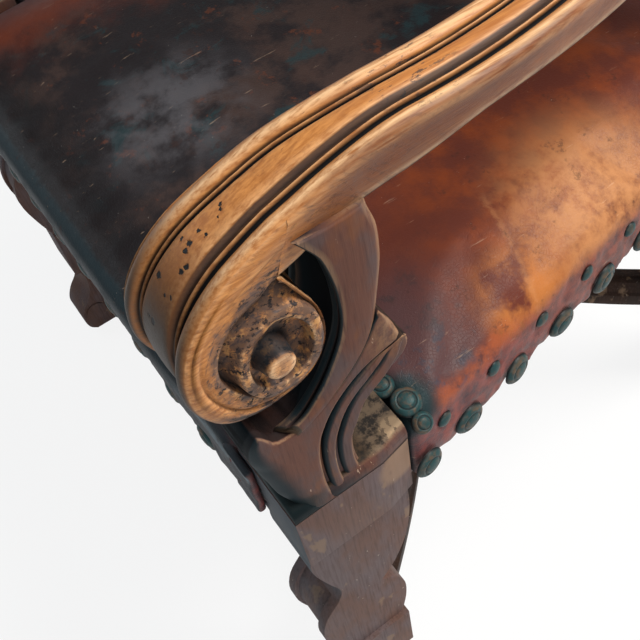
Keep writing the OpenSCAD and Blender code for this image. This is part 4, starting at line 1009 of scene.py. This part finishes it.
def twoSided(obj, middle):
    # Adds the mirrored inner half of the scroll's open forms
    bm = bmesh.new()
    bm.from_mesh(obj.data)
    for group in islands(bm):
        if min(v.co.x for v in group) < middle - 0.002:
            continue
        faces = {f for v in group for f in v.link_faces}
        for g in bmesh.ops.duplicate(bm, geom=list(faces))["geom"]:
            if isinstance(g, bmesh.types.BMVert):
                g.co.x = 2 * middle - g.co.x
    tidy(bm, 0.000005)
    putBack(obj, bm)


supportRight = finishSupport()
twoSided(supportRight, corner.x - 0.023)
supportRight.modifiers.new("even", "WEIGHTED_NORMAL").keep_sharp = True
settle(supportRight, "arm_support_right", slot="support_wood", material=supportWood)
supportLeft = leftTwin(supportRight, "armSupportLeft", "arm_support_left", "support_wood", supportWood)
supportLeft.modifiers.new("even", "WEIGHTED_NORMAL")
print("arm supports made")


def dressed(node, width, material, slot):
    # A merged copy of a wooden CAD piece, its edges worn round
    words = node.split("_")
    obj = addObject(words[0] + "".join(w.capitalize() for w in words[1:]), cadCopy(node))
    worn = obj.modifiers.new("wornEdges", "BEVEL")
    worn.width = width
    worn.segments = 3
    worn.limit_method = "ANGLE"
    worn.angle_limit = math.radians(32)
    worn.harden_normals = True
    settle(obj, node, slot=slot, material=material)
    return obj


# How far the edges of each frame member are worn, in metres
edgeWear = {"front_leg_right": 0.0012, "front_leg_left": 0.0012, "rear_post_right": 0.0016,
            "rear_post_left": 0.0016, "front_seat_rail": 0.0008, "rear_seat_rail": 0.0008,
            "side_seat_rail_right": 0.0008, "side_seat_rail_left": 0.0008, "back_top_rail": 0.0012,
            "back_bottom_rail": 0.0012, "corner_blocks": 0.0008}
for node, width in edgeWear.items():
    dressed(node, width, frameWood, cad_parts[node].get("slot") or "frame_wood")
for node in [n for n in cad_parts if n.startswith("stretcher") and "dowel" not in n]:
    dressed(node, 0.0012, tieWood, "frame_wood")
print("frame dressed")

# Nails: domed heads with a turned ring, all spun from one line
nailLook = {
    "large": [(0, 4.9), (2.4, 4.8), (4.6, 4.45), (6.0, 3.95), (6.6, 3.3), (7.1, 3.25), (7.7, 3.65),
        (8.6, 3.5), (9.8, 2.8), (10.8, 1.9), (11.5, 0.9), (11.6, 0.0)],
    "small": [(0, 2.9), (2.0, 2.75), (3.8, 2.2), (5.0, 1.35), (5.7, 0.5), (5.8, 0.0)],
    "sink": 0.0021}


def nailMesh(line, steps, ringed):
    bm = bmesh.new()
    dirt, crest = layersOf(bm, "dirt", "crest")
    verts = []
    for i, (r, h) in enumerate(line):
        v = bm.verts.new((r * 0.001, 0, h * 0.001))
        # The lowest rings and the turned groove take painted shade
        low = 1.0 if i >= len(line) - 2 else 0.0
        v[dirt] = max(low, 0.9 if ringed and 4 <= i <= 5 else 0.0)
        v[crest] = 1.0 if (ringed and i in (2, 3, 7, 8)) or (not ringed and i < 2) else 0.3
        verts.append(v)
    edges = [bm.edges.new(pair) for pair in zip(verts, verts[1:])]
    bmesh.ops.spin(bm, geom=verts + edges, cent=(0, 0, 0), axis=(0, 0, 1), dvec=(0, 0, 0), angle=2 * math.pi,
                   steps=steps, use_merge=True, use_normal_flip=False, use_duplicate=False)
    tidy(bm)
    mesh = bpy.data.meshes.new("nailShape")
    bm.to_mesh(mesh)
    bm.free()
    return mesh


def nailSeats(node):
    # Foot, direction and radius of every nail of a CAD group
    bm = cadCopy(node)
    bm.normal_update()
    seats = []
    for group in islands(bm):
        faces = {f for v in group for f in v.link_faces}
        foot = max(faces, key=lambda f: f.calc_area())
        centre = sum((v.co for v in foot.verts), Vector()) / len(foot.verts)
        seats.append((centre, -foot.normal, max((v.co - centre).length for v in foot.verts)))
    bm.free()
    return seats


largeHead = nailMesh(nailLook["large"], 22, True)
smallHead = nailMesh(nailLook["small"], 14, False)


def nailGroup(node, name, shape, radius, extra=()):
    bm = bmesh.new()
    layersOf(bm, "dirt", "crest")
    places = [n for n in nailSeats(node) if not extra or n[0].z < seatHeight]
    for k, (centre, way, r) in enumerate(places + list(extra)):
        before = len(bm.verts)
        bm.from_mesh(shape)
        bm.verts.ensure_lookup_table()
        fresh = bm.verts[before:]
        uneven = 1 + 0.03 * math.sin(k * 2.7)
        size = r / radius * uneven
        if way.y < -0.9:
            centre = centre - way * nailLook["sink"]
        turn = way.to_track_quat("Z", "Y").to_matrix().to_4x4()
        wobble = Matrix.Rotation(0.05 * math.sin(k * 1.9), 4, "X")
        wobble = wobble @ Matrix.Rotation(0.05 * math.cos(k * 3.1), 4, "Y")
        place = Matrix.Translation(centre) @ turn @ wobble @ Matrix.Diagonal((size, size, 1.0, 1.0))
        bmesh.ops.transform(bm, matrix=place, verts=fresh)
    bm.normal_update()
    obj = addObject(name, bm)
    settle(obj, node, slot="nail_brass", material=nailMetal)
    return obj


# Nails beside the notch of the front leg, outside the row: place, direction and radius
notchNails = [((-18.4, 90.2, 9.0), (0.20, 0.0, 0.98), 0.0094), ((-5.4, 90.6, 3.4), (0.62, 0.03, 0.78), 0.0072),
              ((-35, 85.5, 9.6), (0.0, -0.12, 0.99), 0.0082), ((-3.6, 91.8, -43.5), (0.98, 0.17, 0.0), 0.0112)]
extraNails = []
for side in (1, -1):
    turned = Vector((side, 1, 1))
    extraNails += [(at(*p) * turned, (Vector(w) * turned).normalized(), r) for p, w, r in notchNails]
nailGroup("seat_nails_large", "seatNailsLarge", largeHead, 0.0120, extraNails)
for node, name in (("seat_nails_small", "seatNailsSmall"), ("back_nails_large", "backNailsLarge"),
                   ("back_nails_small", "backNailsSmall"), ("rear_nails_small", "rearNailsSmall")):
    nailGroup(node, name, smallHead, 0.0060)
print("nails made")

# Seat leather: a crowned form over the rails, notched round the legs and swelled as cloth
seatLook = {"front": -6.0, "rear": 520.0, "notchX": 258.5, "notchY": 81.5, "rearX": 198.5, "rearNotch": 468.5,
            "crown": 16.5, "frontBulge": 3.4, "voxel": 0.006, "pressure": 2.6, "cap": 0.008, "edgeTop": 6.8,
            "rows": [(0.6, -57.6), (0.2, -40), (0, -20), (0, -8), (1.2, -4), (4.5, 1.5), (12, 6.0), (30, 6.9)],
            "hem": [(0.0035, -0.0008), (0.001, 0.005)]}


def seatPlace(x, y, z):
    # x from the middle, y from the blocks' front and z from their top, in millimetres
    return Vector((x * 0.001, (y - yMiddle) * 0.001, seatHeight + z * 0.001))


def seatLocal(co):
    return co.x * 1000, co.y * 1000 + yMiddle, (co.z - seatHeight) * 1000


def sideX(y):
    # Half the width of the seat at each depth
    return 315 - (y - 80) * 0.17846


def seatPlan():
    # Outline from the front middle round: x, y, way inward along x and y, and 1 in a notch
    look = seatLook
    half = [(look["notchX"] * i / 6, look["front"], 0, 1, 0) for i in range(6)]
    half += [(look["notchX"], look["front"], -1, 1, 0), (look["notchX"], 36, -1, 0, 1),
             (look["notchX"], look["notchY"], -1, 1, 1), (278, look["notchY"], 0, 1, 1),
             (sideX(look["notchY"]), look["notchY"], -1, 1, 0)]
    for i in range(1, 7):
        y = look["notchY"] + (look["rearNotch"] - look["notchY"]) * i / 7
        half.append((sideX(y), y, -1, 0, 0))
    half += [(sideX(look["rearNotch"]), look["rearNotch"], -1, -1, 0), (210, look["rearNotch"], 0, -1, 1),
             (look["rearX"], look["rearNotch"], -1, -1, 1), (look["rearX"], 490, -1, 0, 1),
             (look["rearX"], look["rear"], -1, -1, 0)]
    half += [(look["rearX"] * i / 5, look["rear"], 0, -1, 0) for i in (4, 3, 2, 1, 0)]
    return half + [(-x, y, -dx, dy, n) for x, y, dx, dy, n in reversed(half[1:-1])]


def stepCloth(obj, pins, pressure, cap, shrink=0.0, frames=20, stiff=12.0, bend=1.2):
    # Swells a pad by simulation and writes the result into its mesh
    group = obj.vertex_groups.new(name="pins")
    for index, weight in pins.items():
        group.add([index], weight, "REPLACE")
    before = [v.co.copy() for v in obj.data.vertices]
    cloth = obj.modifiers.new("cloth", "CLOTH")
    kit = cloth.settings
    kit.quality = 5
    kit.mass = 0.35
    kit.tension_stiffness = kit.compression_stiffness = stiff
    kit.shear_stiffness = stiff * 0.5
    kit.bending_stiffness = bend
    kit.air_damping = 2.0
    kit.use_pressure = True
    kit.uniform_pressure_force = pressure
    kit.shrink_min = shrink
    kit.effector_weights.gravity = 0
    kit.vertex_group_mass = "pins"
    cloth.collision_settings.use_collision = False
    cloth.point_cache.frame_start = 1
    cloth.point_cache.frame_end = frames
    scene = bpy.context.scene
    for frameNumber in range(1, frames + 1):
        scene.frame_set(frameNumber)
    done = obj.evaluated_get(bpy.context.evaluated_depsgraph_get())
    after = [v.co.copy() for v in done.to_mesh().vertices]
    done.to_mesh_clear()
    obj.modifiers.remove(cloth)
    obj.vertex_groups.clear()
    moved = 0.0
    for v, old, new in zip(obj.data.vertices, before, after):
        shift = new - old
        far = shift.length
        if far > cap:
            shift *= cap / far
        moved = max(moved, min(far, cap))
        v.co = old + shift
    scene.frame_set(1)
    print(obj.name, "swelled by up to", round(moved * 1000, 1), "mm")


def remeshed(obj, voxel):
    copy = obj.modifiers.new("even", "REMESH")
    copy.mode = "VOXEL"
    copy.voxel_size = voxel
    done = obj.evaluated_get(bpy.context.evaluated_depsgraph_get())
    mesh = bpy.data.meshes.new_from_object(done)
    obj.modifiers.remove(copy)
    old = obj.data
    obj.data = mesh
    bpy.data.meshes.remove(old)


def seatTop(x, y):
    # Height of the leather over the block tops
    side = max(0.0, sideX(max(y, 40)) - abs(x) - 10)
    front, rear = max(0.0, y - 2), max(0.0, 510 - y)
    fade = (1 - math.exp(-side / 70)) * (1 - math.exp(-front / 75)) * (1 - math.exp(-rear / 75))
    return seatLook["edgeTop"] + seatLook["crown"] * fade


def bulge(x, z):
    # How far the front edge hangs over its band
    wide = ease((238 - abs(x)) / 90)
    tall = alongTable({-58: 0.0, -50: 0.06, -38: 0.35, -24: 0.8, -12: 1.0, -2: 0.98, 6: 0.78, 12: 0.5}, z)
    return seatLook["frontBulge"] * wide * tall


def seatForm():
    # The pad in its drawn form: rows of the plan, remeshed, crowned, hung over and made uneven
    look = seatLook
    bm = bmesh.new()
    stations = []
    for inset, z in look["rows"]:
        ring = []
        for x, y, dx, dy, notch in seatPlan():
            d = min(inset, 4 + inset / 3) if notch else inset
            ring.append(seatPlace(x + dx * d, y + dy * d, z))
        stations.append(ring)
    rings = sweep(bm, stations, True)
    fillRing(bm, rings[0], rings[-1])
    bmesh.ops.triangulate(bm, faces=[f for f in bm.faces if len(f.verts) > 4])
    outward(bm)
    obj = addObject("seatCover", bm)
    remeshed(obj, look["voxel"])
    for v in obj.data.vertices:
        x, y, z = seatLocal(v.co)
        if z > 4.5:
            z += (seatTop(x, y) - look["edgeTop"]) * ease((z - 4.5) / 2.2)
        if y < 60:
            y -= bulge(x, z) * math.exp(-max(0.0, y + 6) / 26)
        low = noise.noise(Vector((x / 55, y / 55, 3.1)))
        z += 1.1 * low * ease((z - 2) / 6)
        v.co = seatPlace(x, y, z)
    return obj


def seatPins(obj, nails):
    # Held points: the lower edge, the notches and the leather under each nail
    pins = {}
    for v in obj.data.vertices:
        x, y, z = seatLocal(v.co)
        atLeg = (248 < abs(x) < 266 and y < 84) or (y < 86 and abs(x) > 250)
        if z < -54 or atLeg or (y > 462 and abs(x) > 190):
            weight = 1.0
        else:
            near = min((v.co - c).length / r for c, w, r in nails)
            weight = 1.0 if near < 1.2 else (0.4 if near < 1.6 else 0.0)
            if y < 16 and z > -34:
                weight = max(weight, 0.8)
        if weight:
            pins[v.index] = weight
    return pins


def seatShown(f):
    # Whether a face of the swelled pad belongs to the leather that is kept
    x, y, z = seatLocal(f.calc_center_median())
    if f.normal.z < -0.6 and z < -45:
        return False
    onBand = y < 1.5 or y > 513 or abs(x) > sideX(y) - 6
    if abs(x) > 256 and y < 82:
        onBand = False
    return z > -13 or onBand


def finishSeat():
    obj = seatForm()
    nails = nailSeats("seat_nails_large") + nailSeats("seat_nails_small")
    stepCloth(obj, seatPins(obj, nails), seatLook["pressure"], seatLook["cap"], -0.005, bend=6.0)
    bm = bmesh.new()
    bm.from_mesh(obj.data)
    bmesh.ops.delete(bm, geom=[f for f in bm.faces if not seatShown(f)], context="FACES")
    bmesh.ops.subdivide_edges(bm, edges=bm.edges, cuts=1, use_grid_fill=True, smooth=0.6)
    for v in bm.verts:
        # Nails pull the leather in, and it stands up a little round them
        for c, w, r in nails:
            far = (v.co - c).length / r
            if far < 2.4:
                v.co -= w * (0.0016 * math.exp(-far * far * 1.6) - 0.0010 * math.exp(-(far - 1.5) ** 2 * 6))
                break
    bmesh.ops.smooth_vert(bm, verts=[v for v in bm.verts if not v.is_boundary], factor=0.35,
                          use_axis_x=True, use_axis_y=True, use_axis_z=True)
    # A turned hem under every open edge
    rim = [e for e in bm.edges if e.is_boundary]
    for inset, rise in seatLook["hem"]:
        grown = bmesh.ops.extrude_edge_only(bm, edges=rim)["geom"]
        rim = [g for g in grown if isinstance(g, bmesh.types.BMEdge)]
        for g in grown:
            if isinstance(g, bmesh.types.BMVert):
                inward = Vector((-g.co.x, -g.co.y * 1.1, 0)).normalized()
                g.co += inward * inset + Vector((0, 0, rise))
    for side in (-1, 1):
        seatTab(bm, side)
    outward(bm)
    putBack(obj, bm)
    return obj


def seatTab(bm, side):
    # The end of the front band, lapped over the block's face beside the notch
    lap = bmesh.ops.create_cube(bm, size=1.0)["verts"]
    bmesh.ops.scale(bm, vec=(0.0275, 0.0052, 0.0560), verts=lap)
    edges = {e for v in lap for e in v.link_edges}
    bmesh.ops.bevel(bm, geom=list(edges), offset=0.0022, segments=3, profile=0.5, affect="EDGES", material=-1)

    def found(most):
        # The lap is the small group of points that lies nearest to the origin
        return min([g for g in islands(bm) if len(g) < most], key=lambda g: min(v.co.length for v in g))

    edges = {e for v in found(200) for e in v.link_edges if e.calc_length() > 0.012}
    bmesh.ops.subdivide_edges(bm, edges=list(edges), cuts=9, use_grid_fill=True)
    for v in found(4000):
        x, y, z = v.co * 1000
        ripple = 1.0 * math.sin(z * 0.22 + 1.0) + 0.8 * noise.noise(Vector((x * 0.08, z * 0.08, 5.0)))
        y -= ripple * (0.6 if y < 0 else 0)
        v.co = seatPlace(side * (261.5 + x + 0.06 * z), -3.0 + y, -30.2 + z)


seatCover = finishSeat()
settle(seatCover, "seat_cover", slot="leather", material=seatHide)
print("seat leather made")

# Back panel, drawn flat and leaned onto the posts
panelLook = {"halfWide": 211.0, "halfHigh": 268.1, "swell": 12.5, "border": 13.0, "middle": 846.0,
             "lean": 77 / 610, "rear": (396, 521), "rearThick": 0.0022}
panelTurn = Matrix.Rotation(-math.atan(panelLook["lean"]), 4, "X")
panelCentre = Vector((0, (473 + panelLook["lean"] * (panelLook["middle"] - 510) - yMiddle) * 0.001,
                      panelLook["middle"] * 0.001))


def onBack(x, y, z):
    # x across, y from front to rear, z up the slope, in millimetres
    return panelTurn @ (Vector((x, y, z)) * 0.001) + panelCentre


def finishBackFront():
    look = panelLook
    wide, high, edge = look["halfWide"] - look["border"], look["halfHigh"] - look["border"], look["border"]
    bm = bmesh.new()
    base = bmesh.ops.create_cube(bm, size=1.0)["verts"]
    bmesh.ops.scale(bm, vec=(2 * wide * 0.001, 0.006, 2 * high * 0.001), verts=base)
    bmesh.ops.translate(bm, vec=(0, -0.0036, 0), verts=base)
    obj = addObject("backCoverFront", bm)
    remeshed(obj, 0.0055)
    for v in obj.data.vertices:
        x, y, z = v.co * 1000
        if y < -2.5:
            fade = (1 - math.exp(-max(0, wide - abs(x)) / 20)) * (1 - math.exp(-max(0, high - abs(z)) / 20))
            y -= look["swell"] * fade
        v.co = onBack(x, y, z)
    pins = {}
    flat = panelTurn.inverted()
    for v in obj.data.vertices:
        x, y, z = (flat @ (v.co - panelCentre)) * 1000
        if abs(x) > wide - 3 or abs(z) > high - 3 or y > -1.6:
            pins[v.index] = 1.0
    stepCloth(obj, pins, 2.5, 0.007, -0.006)
    bm = bmesh.new()
    bm.from_mesh(obj.data)
    bmesh.ops.subdivide_edges(bm, edges=bm.edges, cuts=1, use_grid_fill=True, smooth=0.5)
    # The nailed border round the pad
    outer = [(-look["halfWide"], -look["halfHigh"]), (look["halfWide"], -look["halfHigh"]),
             (look["halfWide"], look["halfHigh"]), (-look["halfWide"], look["halfHigh"])]
    stations = []
    for inset, y in [(0.2, -0.4), (0.0, -1.6), (0.5, -2.9), (2.0, -3.5), (8, -3.7), (edge - 1, -3.6),
                     (edge + 3, -4.4), (edge + 3, -0.4)]:
        stations.append([onBack(x - math.copysign(inset, x), y, z - math.copysign(inset, z))
                         for x, z in outer])
    rings = sweep(bm, stations, True)
    border = {v for ring in rings for v in ring}
    long = [e for e in bm.edges if e.verts[0] in border and e.verts[1] in border and e.calc_length() > 0.3]
    bmesh.ops.subdivide_edges(bm, edges=long, cuts=60, use_grid_fill=True)
    outward(bm)
    putBack(obj, bm)
    return obj


backCoverFront = finishBackFront()
settle(backCoverFront, "back_cover_front", slot="leather", material=backHide)


def finishBackRear():
    # A nailed sheet with slight waves, given its thickness
    wide, high = panelLook["rear"]
    bm = bmesh.new()
    grid = bmesh.ops.create_grid(bm, x_segments=int(wide / 9), y_segments=int(high / 9), size=0.5)
    for v in grid["verts"]:
        x, z = v.co.x * wide, v.co.y * high
        v.co = onBack(x, 28.2 + 0.5 * noise.noise(Vector((x / 70, z / 70, 1.7))), z)
    outward(bm)
    bmesh.ops.solidify(bm, geom=bm.faces[:], thickness=panelLook["rearThick"])
    outward(bm)
    return addObject("backCoverRear", bm)


backCoverRear = finishBackRear()
settle(backCoverRear, "back_cover_rear", slot="leather", material=backHide)
print("back leather made")


# Inside the seat and the back: woven straps, hessian and the stuffing
def makeCloth(name, light, dark, pitch, strength):
    f = Finish(name, {"light": light, "dark": dark}, 0.85)
    weave = None
    for axis in "XYZ":
        wave = f.pen.make("TexWave", {"wave_type": "BANDS", "bands_direction": axis},
                          {"Vector": f.vector(), "Scale": 0.314 / pitch}, out=1)
        weave = wave if weave is None else wave.math("MAXIMUM", weave, wave)
    cloud = f.noise(30, 4, 0.6)
    fibre = f.noise(1.2, 3, 0.7)
    f.tone = f.mix(weave, "dark", "light")
    f.over(cloud.between(0.4, 0.7) * 0.4, "dark")
    f.over(fibre.between(0.55, 0.7) * 0.35, "light")
    return f.finish(0.78 + cloud * 0.15, weave + fibre * 0.5, strength, 0.0006)


stuffingLook = {"dark": (0.045, 0.030, 0.022), "light": (0.17, 0.115, 0.075), "middle": (0.10, 0.065, 0.042)}


def makeStuffing():
    f = Finish("stuffingFibre", stuffingLook, 0.92)
    curl = f.noise(2.2, 5, 0.75, distortion=1.5)
    cloud = f.noise(26, 4, 0.6)
    f.tone = f.mix(curl.between(0.4, 0.65), "dark", "light")
    f.over(cloud.between(0.45, 0.7) * 0.5, "middle")
    return f.finish(0.8 + cloud * 0.15, curl, 0.8, 0.0015)


webCloth = makeCloth("webCloth", (0.40, 0.30, 0.17), (0.20, 0.14, 0.075), 1.6, 0.6)
hessianCloth = makeCloth("hessianCloth", (0.34, 0.25, 0.14), (0.15, 0.105, 0.06), 2.4, 0.7)
fibre = makeStuffing()


def strap(bm, start, end, across, thick, sag, lift):
    # One woven strap with soft edges
    run = end - start
    wide = across.length
    side = across.normalized()
    up = run.normalized().cross(side)
    section = [(-0.5, 0.2), (-0.49, 0.8), (-0.42, 1.0), (0.0, 1.02), (0.42, 1.0), (0.49, 0.8), (0.5, 0.2),
               (0.49, 0.06), (0.42, 0.0), (0.0, 0.0), (-0.42, 0.0), (-0.49, 0.06)]
    stations = []
    steps = 24
    for i in range(steps + 1):
        s = i / steps
        middle = start + run * s + lift * (sag * math.sin(math.pi * s))
        stations.append([middle + side * (wide * a) + up * (thick * (h - 0.5)) for a, h in section])
    rings = sweep(bm, stations, True)
    fillRing(bm, rings[0])
    fillRing(bm, rings[-1])


def finishWebbing():
    low, down, up = -11.0, Vector((0, 0, -1)), Vector((0, 0, 1))
    bm = bmesh.new()
    for x in range(-168, 169, 84):
        strap(bm, seatPlace(x, 7, low), seatPlace(x, 505, low), Vector((0.048, 0, 0)), 0.0018, 0.0003, down)
    for y in range(120, 373, 84):
        reach = sideX(y + 24) - 11
        strap(bm, seatPlace(-reach, y, low + 2.1), seatPlace(reach, y, low + 2.1), Vector((0, 0.048, 0)),
              0.0018, 0.0, down)
    outward(bm)
    settle(addObject("seatWebbing", bm), "seat_webbing", slot="webbing", material=webCloth)
    bm = bmesh.new()
    for x in (-110, 0, 110):
        strap(bm, onBack(x, -1.0, -243), onBack(x, -1.0, 243), Vector((0.048, 0, 0)), 0.0016, 0, up)
    for z in range(-184, 185, 92):
        strap(bm, onBack(-186, -3.2, z), onBack(186, -3.2, z), panelTurn @ Vector((0, 0, 0.048)),
              0.0016, 0, up)
    outward(bm)
    settle(addObject("backWebbing", bm), "back_webbing", slot="webbing", material=webCloth)


finishWebbing()


def softCopy(node, name, inset):
    # The CAD pad, remeshed under the leather and made uneven like hand-laid fibre
    obj = addObject(name, cadCopy(node, False))
    remeshed(obj, 0.007)
    for v in obj.data.vertices:
        v.co -= v.normal * (inset + 0.0008 * (0.5 + 0.5 * noise.noise(v.co * 22)))
    for face in obj.data.polygons:
        face.use_smooth = True
    settle(obj, node, slot="stuffing", material=fibre)
    return obj


seatStuffing = softCopy("seat_stuffing", "seatStuffing", 0.0006)
backStuffing = softCopy("back_stuffing", "backStuffing", 0.0045)


def finishHessian():
    # One sheet over the webbing, cut into a grid and given a slight wave
    bm = bmesh.new()
    ring = [bm.verts.new(seatPlace(x + dx * 9, y + dy * 9, -7.4)) for x, y, dx, dy, notch in seatPlan()]
    bmesh.ops.contextual_create(bm, geom=ring)
    steps = 36
    for normal, low, high in (((1, 0, 0), -0.30, 0.30), ((0, 1, 0), -0.27, 0.23)):
        for i in range(1, steps):
            bmesh.ops.bisect_plane(bm, geom=bm.verts[:] + bm.edges[:] + bm.faces[:], plane_no=normal,
                                   plane_co=Vector(normal) * (low + (high - low) * i / steps))
    for v in bm.verts:
        v.co.z += 0.0001 * noise.noise(v.co * 30)
    outward(bm)
    bmesh.ops.solidify(bm, geom=bm.faces[:], thickness=0.0007)
    outward(bm)
    return addObject("seatHessian", bm)


seatHessian = finishHessian()
settle(seatHessian, "seat_hessian", slot="hessian", material=hessianCloth)
print("inside of seat and back made")

for node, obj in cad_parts.items():
    obj.data.materials.clear()
    obj.data.materials.append(frameWood)

# Floor and light
floorBm = bmesh.new()
bmesh.ops.create_grid(floorBm, x_segments=1, y_segments=1, size=6.0)
floor = addObject("floor", floorBm, False)


def seenShare(pen, mirrored):
    # 1 for what the camera sees and a share of it in reflections, so the background stays white
    camera = pen.make("LightPath", None, None, out=0)
    outs = camera.socket.node.outputs
    others = Wire(pen.tree, outs["Is Glossy Ray"]) + Wire(pen.tree, outs["Is Transmission Ray"])
    return camera + others * mirrored


def makeFloor():
    material = bpy.data.materials.new("floorWhite")
    material.use_nodes = True
    tree = material.node_tree
    tree.nodes.clear()
    pen = Wire(tree)
    plain = pen.make("BsdfDiffuse", None, {"Color": (0.85, 0.85, 0.85, 1)})
    bright = pen.make("Emission", None, {"Color": (1, 1, 1, 1), "Strength": 1.0})
    both = pen.make("MixShader", None, {0: (seenShare(pen, 0.35) * 0.86).held(), 1: plain, 2: bright})
    output = tree.nodes.new("ShaderNodeOutputMaterial")
    tree.links.new(both.socket, output.inputs[0])
    return material


floor.data.materials.append(makeFloor())
world = bpy.data.worlds.new("world")
bpy.context.scene.world = world
world.use_nodes = True
world.node_tree.nodes.clear()
worldPen = Wire(world.node_tree)
background = worldPen.make("Background", None, {"Color": (0.76, 0.90, 1.0, 1), "Strength": 0.18})
white = worldPen.make("Background", None, {"Color": (1, 1, 1, 1), "Strength": 1.0})
mixed = worldPen.make("MixShader", None, {0: seenShare(worldPen, 0.3).held(), 1: background, 2: white})
worldOut = world.node_tree.nodes.new("ShaderNodeOutputWorld")
world.node_tree.links.new(mixed.socket, worldOut.inputs[0])


def lamp(name, place, aim, size, power, colour):
    data = bpy.data.lights.new(name, "AREA")
    data.shape = "RECTANGLE"
    data.size = data.size_y = size
    data.energy = power
    data.color = colour
    obj = bpy.data.objects.new(name, data)
    bpy.context.scene.collection.objects.link(obj)
    obj.location = place
    obj.rotation_euler = (Vector(aim) - Vector(place)).to_track_quat("-Z", "Y").to_euler()


# Place, aim, size in metres, power in watts and colour
lamp("keyLamp", (0.75, 0.95, 2.1), (0.25, -0.1, 0.55), 0.9, 62, (1.0, 0.96, 0.90))
lamp("sideLamp", (2.1, -0.7, 1.1), (0.25, -0.15, 0.5), 1.0, 14, (1.0, 0.98, 0.96))
lamp("leftLamp", (-1.5, -1.2, 1.5), (0.1, -0.1, 0.5), 0.9, 9, (0.86, 0.94, 1.0))
bpy.context.scene.view_settings.view_transform = "Standard"
